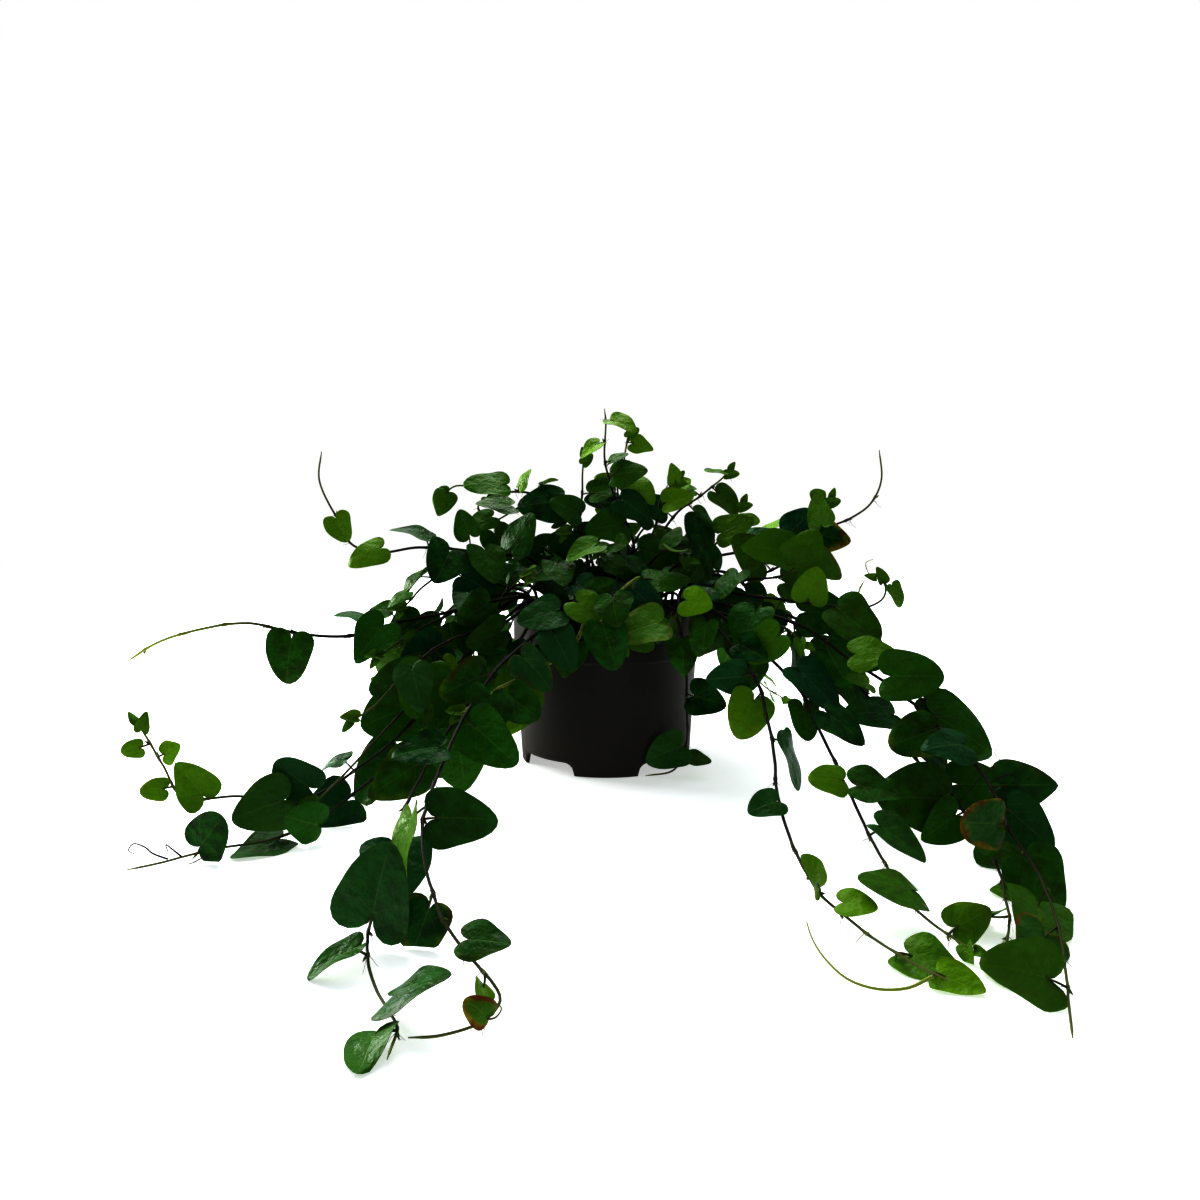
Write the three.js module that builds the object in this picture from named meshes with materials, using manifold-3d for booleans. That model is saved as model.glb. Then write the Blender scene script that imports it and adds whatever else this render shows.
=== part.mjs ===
// A creeping fig, Ficus pumila, grown in a round plastic nursery pot.
// Long thin stems stand in the potting soil, arch over the rim and trail down to the surface
// that the pot stands on. Heart-shaped leaves stand on them alternately, left and right.
// Millimetres, +Z up. The origin is the centre of the pot's underside; -Y is the front.
import * as THREE from 'three';
import { mergeVertices } from 'three/addons/utils/BufferGeometryUtils.js';
import Module from 'manifold-3d';

const wasm = await Module();
wasm.setup();

// Driving dimensions
const TAU = Math.PI * 2;
const DEGREE = Math.PI / 180;
const UP = new THREE.Vector3(0, 0, 1);
const FRONT = new THREE.Vector3(0, -1, 0);

const POT_HEIGHT = 105;
const POT_RIM_RADIUS = 63.4;
const POT_BASE_RADIUS = 58;
const POT_WALL = 2;
const POT_BAND_HEIGHT = 29; // the upright band below the rim
const POT_BAND_STEP = 0.9;
const POT_FLOOR = 10; // underside of the floor above the surface
const POT_SIDES = 28;
const FOOT_RADIUS = 14; // the pressed centre of the floor, which also stands on the surface
const NOTCH_COUNT = 4; // drainage arches in the skirt below the floor
const NOTCH_WIDTH = 48;
const NOTCH_HEIGHT = 8.5;
const NOTCH_CORNER = 7;
const DRAIN_COUNT = 6;
const DRAIN_RADIUS = 4;
const DRAIN_CIRCLE = 40;

const FIT = 0.3; // the gap between pieces that touch
const SOIL_TOP = 95;
const SOIL_CROWN = 2; // how much higher the soil is in the middle
const SOIL_SIDES = 14;
const HOLE_DEPTH = 12;
const HOLE_RADIUS = 2.3; // from the middle of a stem's three-cornered hole to a corner

const STEM_RADIUS_ROOT = 1.35;
const STEM_RADIUS_TIP = 0.75;
const STEM_STEP = 29; // the longest stretch between two rings of a stem
const STEM_START = SOIL_TOP + SOIL_CROWN + 1;

const LEAF_THICKNESS = 0.7;
const SMALL_LEAF = 16; // shorter leaves are drawn with fewer corners
const PETIOLE_HALF_WIDTH = 0.6;
const PETIOLE_LENGTH = 2.5; // of every leaf, and a share of the blade's length besides
const PETIOLE_SHARE = 0.2;
const PETIOLE_RISE = 1.4; // how far it also leaves the stem on the side that the blade faces
const PETIOLE_RISE_END = 2.2; // and how soon not, where the stem itself runs that way
const LEAF_TRIES = 40;
const TRY_TURN = 4; // how much further each later try may turn a leaf, in degrees
const TRY_SHRINK = 0.01; // and how much smaller it is
const TRY_REACH = 0.2; // and how much longer its petiole is
const BLADE_GAP = 1.3; // clear distance between the middle surfaces of two blades
const STICK_GAP = 1.2; // clear distance from a blade or petiole to another stem
const OWN_STEM_GAP = 1.5; // the same to the stem it stands on
const GROUND_GAP = 1.1; // the lowest a blade's middle surface lies

// The stems that show. root is where a stem stands in the soil; through lists what it passes.
// Each leaf has four numbers: how far along the stem from the soil it stands, its length, the
// way its tip points as seen from the front in degrees from +X, and how far the blade is
// turned from facing the front to facing up, where 90 is edge-on.
const SHOWN_STEMS = [
  { name: 'left_curl', root: [-40, 2],
    through: [[-51, -15, 139], [-76, -30, 144], [-120, -45, 149], [-145, -50, 146], [-162, -50, 151],
      [-170, -50, 165], [-182, -50, 192], [-180, -50, 210]],
    leaves: [[66, 26, 60, 40], [86, 26, -60, 30], [92, 25, 158, 15], [108, 30, -112, 10],
      [120, 22, 158, 78], [150, 22, 200, 40], [190, 16, -62, 10]] },
  { name: 'left_whip', root: [-46, -20],
    through: [[-68, -55, 116], [-94, -70, 111], [-126, -85, 106], [-156, -95, 99], [-183, -100, 101],
      [-211, -105, 108], [-239, -110, 105], [-262, -112, 98], [-280, -115, 87]],
    leaves: [[64, 28, -110, 10], [84, 28, -70, 20], [104, 27, -150, 30], [120, 17, 160, 20],
      [128, 29, -135, 10], [134, 26, 168, 62], [182, 25, -98, 0]] },
  { name: 'left_low_inner', root: [-50, -14],
    through: [[-75, -45, 105], [-94, -80, 75], [-111, -110, 54], [-134, -140, 35], [-167, -165, 19],
      [-195, -180, 26], [-221, -190, 29], [-228, -195, 47], [-238, -200, 71]],
    leaves: [[80, 26, -120, 20], [104, 26, -100, 20], [128, 28, -60, 30], [136, 36, -156, 30],
      [196, 20, 198, 45], [222, 24, 150, 12], [238, 29, 184, 30], [280, 21, 120, 25], [298, 12, 176, 20],
      [316, 11, 34, 15], [324, 10, 174, 20]] },
  { name: 'left_low_outer', root: [-51, 0],
    through: [[-80, -30, 96], [-105, -70, 54], [-127, -120, 28], [-144, -150, 16], [-160, -173, 8],
      [-176, -191, 6], [-203, -203, 5], [-222, -219, 4], [-234, -228, 4]],
    leaves: [[70, 25, -130, 25], [98, 26, -70, 20], [122, 28, -120, 20], [146, 28, -60, 20],
      [168, 35, -142, 50], [214, 28, -140, 10], [246, 26, 168, 25], [262, 27, -142, 14],
      [306, 23, 52, 15]] },
  { name: 'left_mid', root: [-43, -27],
    through: [[-71, -60, 99], [-92, -90, 80], [-115, -115, 62], [-140, -145, 36], [-159, -176, 18]],
    leaves: [[58, 26, -100, 25], [78, 28, -60, 30], [98, 28, -140, 20], [120, 31, 186, 24],
      [134, 14, 215, 40]] },
  { name: 'front_left_long', root: [-28, -42],
    through: [[-38, -80, 103], [-61, -130, 87], [-75, -175, 69], [-82, -220, 52], [-81, -280, 40],
      [-71, -312, 24], [-58, -333, 14], [-44, -353, 10], [-40, -360, 6], [-46, -372, 4], [-59, -381, 4],
      [-69, -384, 5]],
    leaves: [[70, 28, -120, 20], [96, 28, -60, 25], [116, 28, -140, 20], [140, 27, -92, 10],
      [164, 29, -40, 10], [196, 22, 178, 55], [246, 29, -94, 62], [258, 25, 4, 30], [304, 27, -130, 30],
      [337, 17, 2, 62], [353, 11, -86, 60], [380, 11, 128, 30]] },
  { name: 'front_left_outer', root: [-38, -38],
    through: [[-54, -75, 93], [-78, -135, 68], [-93, -185, 47], [-100, -230, 30], [-101, -270, 18],
      [-100, -302, 6], [-95, -328, 6], [-87, -349, 4], [-75, -374, 4], [-73, -399, 6]],
    leaves: [[64, 28, -130, 15], [92, 30, -80, 25], [120, 31, -140, 10], [150, 31, -70, 25],
      [182, 28, -150, 15], [244, 28, -84, 10], [308, 34, 76, 15], [330, 20, -158, 84], [374, 25, 38, 92],
      [388, 21, -100, 62]] },
  { name: 'left_cluster_upper', root: [-51, 9],
    through: [[-72, -10, 121], [-98, -40, 133], [-113, -70, 127], [-125, -90, 113]],
    leaves: [[30, 20, -150, 20], [46, 28, 176, 55], [64, 29, -84, 15], [86, 28, -50, 50],
      [106, 25, -135, 70], [132, 14, -150, 60]] },
  { name: 'left_cluster_lower', root: [-37, -31],
    through: [[-67, -60, 101], [-94, -100, 97], [-112, -130, 86], [-128, -150, 69], [-140, -160, 61]],
    leaves: [[62, 30, -135, 15], [104, 29, -150, 20], [118, 15, -86, 60], [128, 31, -100, 5],
      [144, 25, -75, 15]] },
  { name: 'left_cluster_back', root: [-48, -7],
    through: [[-76, -35, 116], [-104, -70, 106], [-124, -95, 96], [-136, -110, 87]],
    leaves: [[50, 28, -130, 25], [72, 29, -60, 30], [94, 30, -120, 15], [116, 30, -70, 20],
      [128, 28, -128, 15]] },
  { name: 'upper_left_near', root: [-24, 14],
    through: [[-12, 5, 158], [-32, 5, 166], [-55, 0, 174], [-72, 0, 166], [-84, -5, 160]],
    leaves: [[52, 25, -20, 40], [76, 26, 200, 30], [118, 22, 172, 62], [136, 18, 200, 40]] },
  { name: 'upper_left_far', root: [-30, 4],
    through: [[-24, -5, 168], [-51, -5, 183], [-75, -8, 184], [-101, -10, 188], [-110, -10, 181]],
    leaves: [[36, 24, -120, 30], [58, 22, 62, 40], [84, 26, 184, 28], [102, 16, -10, 72],
      [112, 13, 60, 60], [122, 25, 172, 55], [162, 15, -112, 5]] },
  { name: 'upper_left_side', root: [-38, 16],
    through: [[-53, 15, 154], [-77, 10, 159], [-88, 5, 174], [-80, 5, 179]],
    leaves: [[28, 24, 160, 40], [68, 18, 200, 40], [86, 22, -60, 5]] },
  { name: 'top_tall', root: [8, -10],
    through: [[19, -10, 146], [10, -8, 171], [3, -5, 189], [-1, 0, 209], [0, 0, 231], [-1, 0, 240]],
    leaves: [[32, 24, -60, 30], [50, 25, -10, 25], [68, 24, 190, 25], [84, 22, -30, 25],
      [102, 22, 12, 35], [112, 13, 30, 70], [126, 15, 212, 58], [141, 18, -16, 60]] },
  { name: 'top_left', root: [-12, -2],
    through: [[-18, -5, 165], [-16, 0, 182], [-16, 0, 195], [-15, 0, 208]],
    leaves: [[30, 24, 200, 30], [50, 23, 160, 40], [70, 22, 150, 45], [86, 19, 16, 60]] },
  { name: 'top_mid', root: [16, 8],
    through: [[13, 5, 171], [12, 5, 199], [14, 5, 216], [16, 5, 226]],
    leaves: [[78, 22, 170, 40], [95, 24, -30, 32], [120, 14, -14, 28]] },
  { name: 'top_young', root: [4, 12],
    through: [[11, 12, 150], [9, 12, 175], [8, 12, 192], [10, 12, 204]],
    leaves: [[56, 16, 30, 30], [70, 14, 150, 40], [81, 12, 20, 40], [92, 13, 150, 30]] },
  { name: 'top_yellow', root: [24, 2],
    through: [[34, 0, 161], [39, 0, 182], [50, 0, 193]],
    leaves: [[52, 24, 20, 40], [68, 20, 160, 30], [80, 19, 10, 35], [90, 18, -8, 30],
      [98, 12, 100, 30]] },
  { name: 'top_right', root: [30, 10],
    through: [[48, 10, 168], [64, 10, 180], [78, 10, 191], [86, 10, 199]],
    leaves: [[54, 24, 10, 40], [72, 22, 152, 30], [86, 22, -14, 35], [96, 15, 152, 75],
      [106, 20, -42, 40], [119, 13, 174, 78]] },
  { name: 'top_far_right', root: [36, -4],
    through: [[75, 0, 148], [86, 0, 166], [94, 0, 177]],
    leaves: [[52, 21, 10, 45], [64, 24, 118, 40], [78, 22, 30, 40], [92, 14, 20, 40]] },
  { name: 'right_upper_near', root: [50, 2],
    through: [[64, -5, 127], [95, -30, 128], [118, -45, 141], [131, -50, 157], [137, -50, 172],
      [143, -50, 181]],
    leaves: [[30, 26, -60, 20], [48, 26, 120, 40], [70, 26, -80, 30], [92, 30, 150, 25],
      [112, 30, 168, 28], [136, 19, 105, 25], [150, 12, 150, 30]] },
  { name: 'right_tendril', root: [46, 14],
    through: [[70, 15, 136], [107, 10, 145], [143, 0, 157], [166, -10, 167], [179, -10, 177],
      [185, -10, 192], [183, -10, 212]],
    leaves: [[34, 26, 80, 50], [52, 25, 160, 55], [74, 25, 30, 50], [96, 24, 96, 25], [110, 24, 40, 55],
      [124, 27, -10, 14]] },
  { name: 'right_upper_far', root: [53, -5],
    through: [[66, -25, 121], [90, -45, 128], [113, -60, 133], [129, -62, 150]],
    leaves: [[34, 24, 50, 40], [50, 28, -60, 25], [70, 27, -100, 30], [92, 27, -40, 20],
      [106, 24, 60, 20], [118, 20, -34, 40]] },
  { name: 'right_mid', root: [50, -17],
    through: [[67, -45, 120], [98, -75, 120], [128, -95, 118], [151, -105, 117], [163, -105, 123],
      [164, -105, 131], [158, -105, 135]],
    leaves: [[38, 25, -60, 25], [84, 20, -36, 55], [100, 24, -110, 25], [118, 20, 82, 8],
      [134, 32, -60, 28], [146, 15, 20, 60], [171, 13, -62, 40]] },
  { name: 'right_long_inner', root: [34, -40],
    through: [[57, -80, 112], [75, -110, 94], [85, -132, 79], [88, -152, 63], [88, -180, 46],
      [86, -205, 32], [89, -238, 17], [94, -274, 10], [105, -299, 6], [116, -325, 5], [127, -345, 6]],
    leaves: [[44, 24, -60, 25], [72, 16, -110, 30], [98, 18, -25, 30], [120, 21, 165, 10],
      [134, 23, -116, 8], [168, 29, -82, 60], [217, 15, 186, 50], [284, 16, 108, 60], [300, 15, 6, 70],
      [336, 26, -44, 12], [356, 16, -20, 20]] },
  { name: 'right_long_mid', root: [40, -34],
    through: [[67, -75, 111], [88, -102, 95], [109, -135, 74], [116, -165, 55], [122, -195, 37],
      [127, -220, 22], [130, -251, 12], [133, -277, 7], [139, -299, 5], [146, -319, 5]],
    leaves: [[58, 24, -100, 20], [82, 22, -60, 20], [104, 20, -120, 15], [130, 29, -42, 52],
      [148, 20, -84, 30], [166, 26, -52, 40], [215, 19, 178, 50], [220, 22, -4, 60], [248, 25, -28, 66],
      [304, 27, 160, 72], [330, 16, 40, 40]] },
  { name: 'right_long_upper', root: [51, -11],
    through: [[81, -35, 115], [120, -75, 105], [142, -105, 80], [161, -135, 54], [170, -158, 39],
      [182, -185, 26], [189, -212, 12], [186, -240, 6], [178, -268, 5], [170, -292, 6], [158, -318, 6],
      [146, -330, 6]],
    leaves: [[40, 26, -120, 20], [62, 26, -60, 20], [84, 24, -130, 15], [106, 30, -8, 20],
      [128, 36, -24, 20], [150, 22, -64, 20], [170, 18, 176, 58], [194, 27, 166, 62], [208, 26, -28, 55],
      [256, 36, 173, 30], [248, 27, 10, 25], [266, 22, -154, 15], [284, 26, -34, 15], [304, 24, 66, 20],
      [322, 23, -50, 8], [366, 27, 152, 8], [408, 25, -62, 15]] },
  { name: 'right_heavy', root: [46, -22],
    through: [[75, -65, 114], [114, -105, 107], [138, -130, 91], [162, -160, 75], [177, -190, 60],
      [187, -220, 44], [186, -252, 30], [189, -278, 19], [182, -315, 8], [166, -358, 5], [156, -384, 5]],
    leaves: [[46, 28, -110, 20], [68, 30, -50, 20], [92, 30, -110, 15], [114, 30, -30, 20],
      [138, 27, -70, 15], [160, 22, 12, 50], [184, 27, 8, 25], [198, 22, -12, 60], [212, 36, -28, 30],
      [226, 22, 196, 20], [246, 22, 172, 58], [272, 25, 6, 25], [284, 24, -42, 8], [300, 22, 170, 15],
      [316, 25, -60, 5], [340, 29, -112, 5], [364, 27, 198, 20], [410, 27, 164, 35]] },
  { name: 'right_short_low', root: [44, -28],
    through: [[72, -68, 109], [88, -92, 108], [104, -108, 106], [115, -120, 97]],
    leaves: [[58, 28, 198, 22], [80, 26, -60, 30], [100, 22, 20, 40], [114, 27, -132, 8]] },
  { name: 'front_right_drop', root: [28, -46],
    through: [[41, -72, 112], [50, -60, 83], [52, -54, 49], [52, -50, 19], [44, -58, 6], [25, -69, 5]],
    leaves: [[24, 22, -110, 20], [42, 22, -50, 20], [60, 22, -72, 5], [104, 21, -12, 18],
      [141, 23, 200, 25], [146, 14, -8, 60]] },
  { name: 'front_pale', root: [12, -46],
    through: [[21, -62, 131], [9, -80, 125], [-1, -92, 111], [-8, -96, 100]],
    leaves: [[38, 27, -20, 50], [58, 24, -50, 25], [76, 24, -110, 20], [92, 26, -72, 5]] },
  { name: 'front_left_pale', root: [-12, -50],
    through: [[-13, -80, 108], [-22, -95, 90], [-45, -118, 81], [-66, -142, 73], [-82, -162, 65]],
    leaves: [[36, 22, -60, 30], [56, 24, -100, 20], [74, 13, 70, 40], [106, 36, -150, 4],
      [126, 24, -60, 30]] },
  { name: 'front_mid', root: [0, -54],
    through: [[-17, -76, 119], [-29, -89, 107], [-38, -100, 90], [-42, -103, 76]],
    leaves: [[26, 24, -80, 20], [36, 17, 40, 5], [48, 23, -35, 45], [60, 24, 195, 45],
      [74, 24, -60, 20]] },
  { name: 'front_right', root: [28, -34],
    through: [[44, -70, 121], [41, -87, 107], [28, -95, 99]],
    leaves: [[30, 24, -100, 25], [62, 23, -42, 52], [86, 26, 192, 48]] },
];

// The short upright stems that fill the crown, by golden angle.
const CROWN = { count: 9, turn: 137.5, start: 215, rootRadius: [9, 34], reach: [34, 84], rise: [66, 42],
  leaf: 25, gap: 14, first: 26 };

// The short stems that hang over the rim all round.
const SKIRT = { count: 6, start: -35, rootRadius: 40, leaf: 25, gap: 14, first: 26 };

// The stems behind, evenly spread over the half turn that the front stems leave.
const BEHIND = { count: 8, from: 12, to: 160, rootRadius: 50, reach: [205, 150, 245], end: [30, 62, 4],
  leaf: 29, gap: 31, first: 40 };

// A repeatable random number from 0 to 1 for three whole numbers.
function chance(a, b, c) {
  let h = (Math.imul(a + 1, 374761393) + Math.imul(b + 1, 668265263) + Math.imul(c + 1, 2147483647)) >>> 0;
  h = Math.imul(h ^ (h >>> 13), 1274126177) >>> 0;
  h = Math.imul(h ^ (h >>> 16), 2246822519) >>> 0;
  return ((h ^ (h >>> 15)) >>> 0) / 4294967296;
}

const mix = (a, b, t) => a + (b - a) * t;
const clamp = (value, low, high) => Math.min(high, Math.max(low, value));

// Leaves at even distances, larger near the soil, alternately left and right.
function ruledLeaves(index, rule, length) {
  const leaves = [];
  for (let i = 0, s = rule.first; s < length - 3; i++, s += rule.gap) {
    const size = rule.leaf * mix(1.08, 0.7, s / length) * mix(0.88, 1.12, chance(index, i, 7));
    leaves.push([s + (chance(index, i, 0) - 0.5) * 0.3 * rule.gap, size]);
  }
  return leaves;
}

function ruledStems() {
  const stems = [];
  const at = (r, angle) => [r * Math.cos(angle), r * Math.sin(angle)];
  for (let i = 0; i < CROWN.count; i++) {
    const t = i / (CROWN.count - 1);
    const angle = (CROWN.start + CROWN.turn * i) * DEGREE;
    const reach = mix(...CROWN.reach, t);
    const rise = STEM_START + mix(...CROWN.rise, t) * mix(0.9, 1.1, chance(i, 5, 1));
    stems.push({ name: 'crown_' + (i + 1), root: at(mix(...CROWN.rootRadius, t), angle), rule: CROWN,
      through: [[...at(reach * 0.72, angle), rise], [...at(reach, angle), rise - 6]] });
  }
  for (let i = 0; i < SKIRT.count; i++) {
    const angle = (SKIRT.start + (360 / SKIRT.count) * i) * DEGREE;
    const low = mix(74, 96, chance(i, 4, 1));
    stems.push({ name: 'skirt_' + (i + 1), root: at(SKIRT.rootRadius, angle), rule: SKIRT,
      through: [[...at(66, angle + 0.1), 124], [...at(84, angle + 0.18), 114], [...at(94, angle + 0.2), low]] });
  }
  for (let i = 0; i < BEHIND.count; i++) {
    const angle = mix(BEHIND.from, BEHIND.to, i / (BEHIND.count - 1)) * DEGREE;
    const reach = BEHIND.reach[i % 3] * mix(0.92, 1.08, chance(i, 6, 1));
    const end = BEHIND.end[i % 3];
    const bend = mix(-0.22, 0.22, chance(i, 6, 2));
    stems.push({ name: 'behind_' + (i + 1), root: at(BEHIND.rootRadius, angle), rule: BEHIND,
      through: [[...at(82, angle), 128], [...at(mix(82, reach, 0.45), angle + bend * 0.3), mix(122, end, 0.35)],
        [...at(mix(82, reach, 0.8), angle + bend * 0.7), mix(110, end, 0.82)],
        [...at(reach, angle + bend), end]] });
  }
  return stems;
}

// A stem's smooth line above the soil: straight up out of its hole, then over its points.
function stemCurve(stem) {
  const points = stem.through.map((p) => new THREE.Vector3(...p));
  const start = new THREE.Vector3(...stem.root, STEM_START);
  const rise = start.clone().lerp(points[0], 0.15);
  rise.z = Math.max(POT_HEIGHT + 8, mix(start.z, points[0].z, 0.6));
  return new THREE.CatmullRomCurve3([start, rise, ...points], false, 'centripetal');
}

// The leaf's outline as a distance from the petiole at an angle from the tip, for a leaf of
// length 1: a pointed tip, a broad middle and two round lobes that meet in a notch.
function outlineRadius(angle) {
  const back = Math.max(0, (angle - 100 * DEGREE) / (80 * DEGREE));
  return (0.52 + 0.48 * Math.exp(-2 * angle)) * (1 - 0.9 * back ** 1.7);
}

// Height of the blade's middle surface over its own plane: folded along the midrib and
// arched from the petiole to the tip.
function bladeHeight(leaf, x, y) {
  const along = Math.max(0, y / leaf.length);
  return leaf.fold * (Math.hypot(x, 1.5) - 1.5) - leaf.arch * leaf.length * along * along;
}

function bladePoint(leaf, x, y) {
  const p = leaf.base.clone()
    .addScaledVector(leaf.across, x)
    .addScaledVector(leaf.along, y)
    .addScaledVector(leaf.normal, bladeHeight(leaf, x, y));
  p.z = Math.max(p.z, GROUND_GAP);
  return p;
}

function rim(leaf, angle, side, share = 1) {
  const r = outlineRadius(angle) * leaf.length * share;
  return [side * r * Math.sin(angle) * leaf.breadth, r * Math.cos(angle)];
}

// Seventeen points that stand for a blade when its clearance is tested.
function bladeSamples(leaf) {
  const places = [[0, leaf.length * 0.35], rim(leaf, 0, 1), rim(leaf, 0, 1, 0.7)];
  for (const angle of [35, 75, 115, 148]) {
    for (const side of [-1, 1]) {
      places.push(rim(leaf, angle * DEGREE, side));
      if (angle < 148) places.push(rim(leaf, angle * DEGREE, side, 0.55));
    }
  }
  return places.map(([x, y]) => bladePoint(leaf, x, y));
}

// One try at a leaf: where it stands and how it is turned. The first try of a leaf whose
// direction is given keeps to it; later tries stray further and are a little smaller.
function tryLeaf(stem, number, attempt, spot, tangent) {
  const [station, full, clock, roll] = stem.leaves[number];
  const draw = (k) => chance(stem.index * 64 + number, attempt, k) - 0.5;
  const length = full * (1 - attempt * TRY_SHRINK);
  const breadth = mix(0.9, 1.1, chance(stem.index, number, 8));
  let along;
  let normal;
  let stalk;
  if (clock !== undefined) {
    const stray = attempt * TRY_TURN * DEGREE;
    const angle = clock * DEGREE + draw(1) * stray;
    const forward = (8 + 20 * chance(stem.index, number, 6)) * DEGREE + draw(2) * stray;
    along = new THREE.Vector3(Math.cos(angle) * Math.cos(forward), -Math.sin(forward),
      Math.sin(angle) * Math.cos(forward));
    const facing = FRONT.clone().addScaledVector(along, -FRONT.dot(along)).normalize();
    const lift = new THREE.Vector3().crossVectors(along, facing);
    if (lift.z < 0) lift.negate();
    const turned = roll * DEGREE + draw(3) * stray;
    normal = facing.multiplyScalar(Math.cos(turned)).addScaledVector(lift, Math.sin(turned));
    const through = Math.abs(tangent.dot(normal));
    const rise = PETIOLE_RISE * Math.max(0, 1 - PETIOLE_RISE_END * through);
    stalk = along.clone().addScaledVector(normal, rise).normalize();
  } else {
    const spread = 1 + attempt * 0.15;
    const outward = new THREE.Vector3(spot.x, spot.y, 0).normalize();
    const lean = mix(0.62, 0.3, clamp((spot.z - 60) / 110, 0, 1));
    const light = UP.clone().multiplyScalar(1 - lean).addScaledVector(outward, lean).normalize();
    const side = new THREE.Vector3().crossVectors(tangent, light).normalize();
    if (number % 2 === 0) side.negate();
    normal = light.clone().addScaledVector(side, draw(1) * 0.8 * spread)
      .addScaledVector(tangent, draw(2) * 0.7 * spread).normalize();
    along = side.clone().addScaledVector(tangent, 0.35 + draw(3) * 0.7 * spread)
      .addScaledVector(UP, -0.9 * lean + draw(4) * 0.3 * spread)
      .addScaledVector(outward, 0.2);
    along.addScaledVector(normal, -along.dot(normal)).normalize();
    stalk = side.multiplyScalar(0.75).addScaledVector(light, 0.55).addScaledVector(along, 0.35).normalize();
  }
  stalk.addScaledVector(tangent, -0.6 * stalk.dot(tangent)).normalize();
  const reach = PETIOLE_LENGTH + length * PETIOLE_SHARE + attempt * TRY_REACH;
  const base = spot.clone().addScaledVector(stalk, reach);
  base.z = Math.max(base.z, GROUND_GAP + 2.5);

  // A blade that would reach under the surface is turned up until it lies on it.
  const room = base.z - GROUND_GAP;
  const buried = Math.max(0, -room / length - along.z);
  along.z += buried;
  along.y -= buried * 1.5;
  along.normalize();
  const across = new THREE.Vector3().crossVectors(along, normal).normalize();
  const most = room / (0.55 * length * breadth);
  across.z = clamp(across.z, -most, most);
  across.addScaledVector(along, -across.dot(along)).normalize();
  return { stem: stem.index, station, spot, base, along, across, length, breadth, tangent,
    normal: new THREE.Vector3().crossVectors(across, along),
    fold: mix(-0.16, 0.3, chance(stem.index, number, 9)), arch: mix(0.04, 0.3, chance(stem.index, number, 10)) };
}

// Signed height of a point over a blade, or null where the point isn't over or under it.
function heightOver(leaf, point, margin) {
  const offset = point.clone().sub(leaf.base);
  const x = offset.dot(leaf.across);
  const y = offset.dot(leaf.along);
  const wide = x / leaf.breadth;
  const angle = Math.abs(Math.atan2(wide, y));
  if (Math.hypot(wide, y) > outlineRadius(angle) * leaf.length + margin) return null;
  return offset.dot(leaf.normal) - bladeHeight(leaf, x, y);
}

// True if the points touch the blade or lie on both sides of it.
function meets(leaf, points, gap) {
  let above = false;
  let below = false;
  for (const point of points) {
    const height = heightOver(leaf, point, gap);
    if (height === null) continue;
    if (Math.abs(height) < gap) return true;
    if (height > 0) above = true;
    else below = true;
  }
  return above && below;
}

function potRadiusAt(z) {
  return mix(POT_BASE_RADIUS, POT_RIM_RADIUS, clamp(z / (POT_HEIGHT - POT_BAND_HEIGHT), 0, 1));
}

// True if a point is in the pot, its wall or the soil, with a margin.
function inPot(point) {
  const r = Math.hypot(point.x, point.y);
  const soil = SOIL_TOP + SOIL_CROWN + 1.5;
  if (point.z > POT_HEIGHT + 1.5) return false;
  if (r < POT_RIM_RADIUS - POT_WALL - 1.5) return point.z < soil;
  return r < potRadiusAt(point.z) + 1.6;
}

function isClear(leaf, leaves, sticks) {
  const petiole = leaf.base.clone().sub(leaf.spot).normalize();
  if (Math.abs(petiole.dot(leaf.tangent)) > 0.85) return false;
  const points = bladeSamples(leaf);
  const stalk = [0.3, 0.5, 0.7, 0.9].map((t) => leaf.spot.clone().lerp(leaf.base, t));
  if (points.some(inPot) || stalk.slice(1).some(inPot)) return false;
  const reach = leaf.length * 1.2;
  for (const other of leaves) {
    if (other.base.distanceTo(leaf.base) > reach + other.length * 1.2) continue;
    if (meets(other, points, BLADE_GAP) || meets(leaf, other.samples, BLADE_GAP)) return false;
    if (meets(other, stalk, STICK_GAP)) return false;
  }
  for (const stick of sticks) {
    if (stick.point.distanceTo(leaf.base) > reach + 6) continue;
    const gap = stick.stem === leaf.stem ? OWN_STEM_GAP : STICK_GAP;
    const height = heightOver(leaf, stick.point, gap);
    if (height !== null && Math.abs(height) < gap + stick.radius) return false;
    if (stick.stem === leaf.stem) continue;
    if (stalk.some((p) => p.distanceTo(stick.point) < stick.radius + STICK_GAP + 0.6)) return false;
  }
  leaf.samples = points;
  leaf.stalk = stalk;
  return true;
}

const stemRadius = (share) => mix(STEM_RADIUS_ROOT, STEM_RADIUS_TIP, share);

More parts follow.
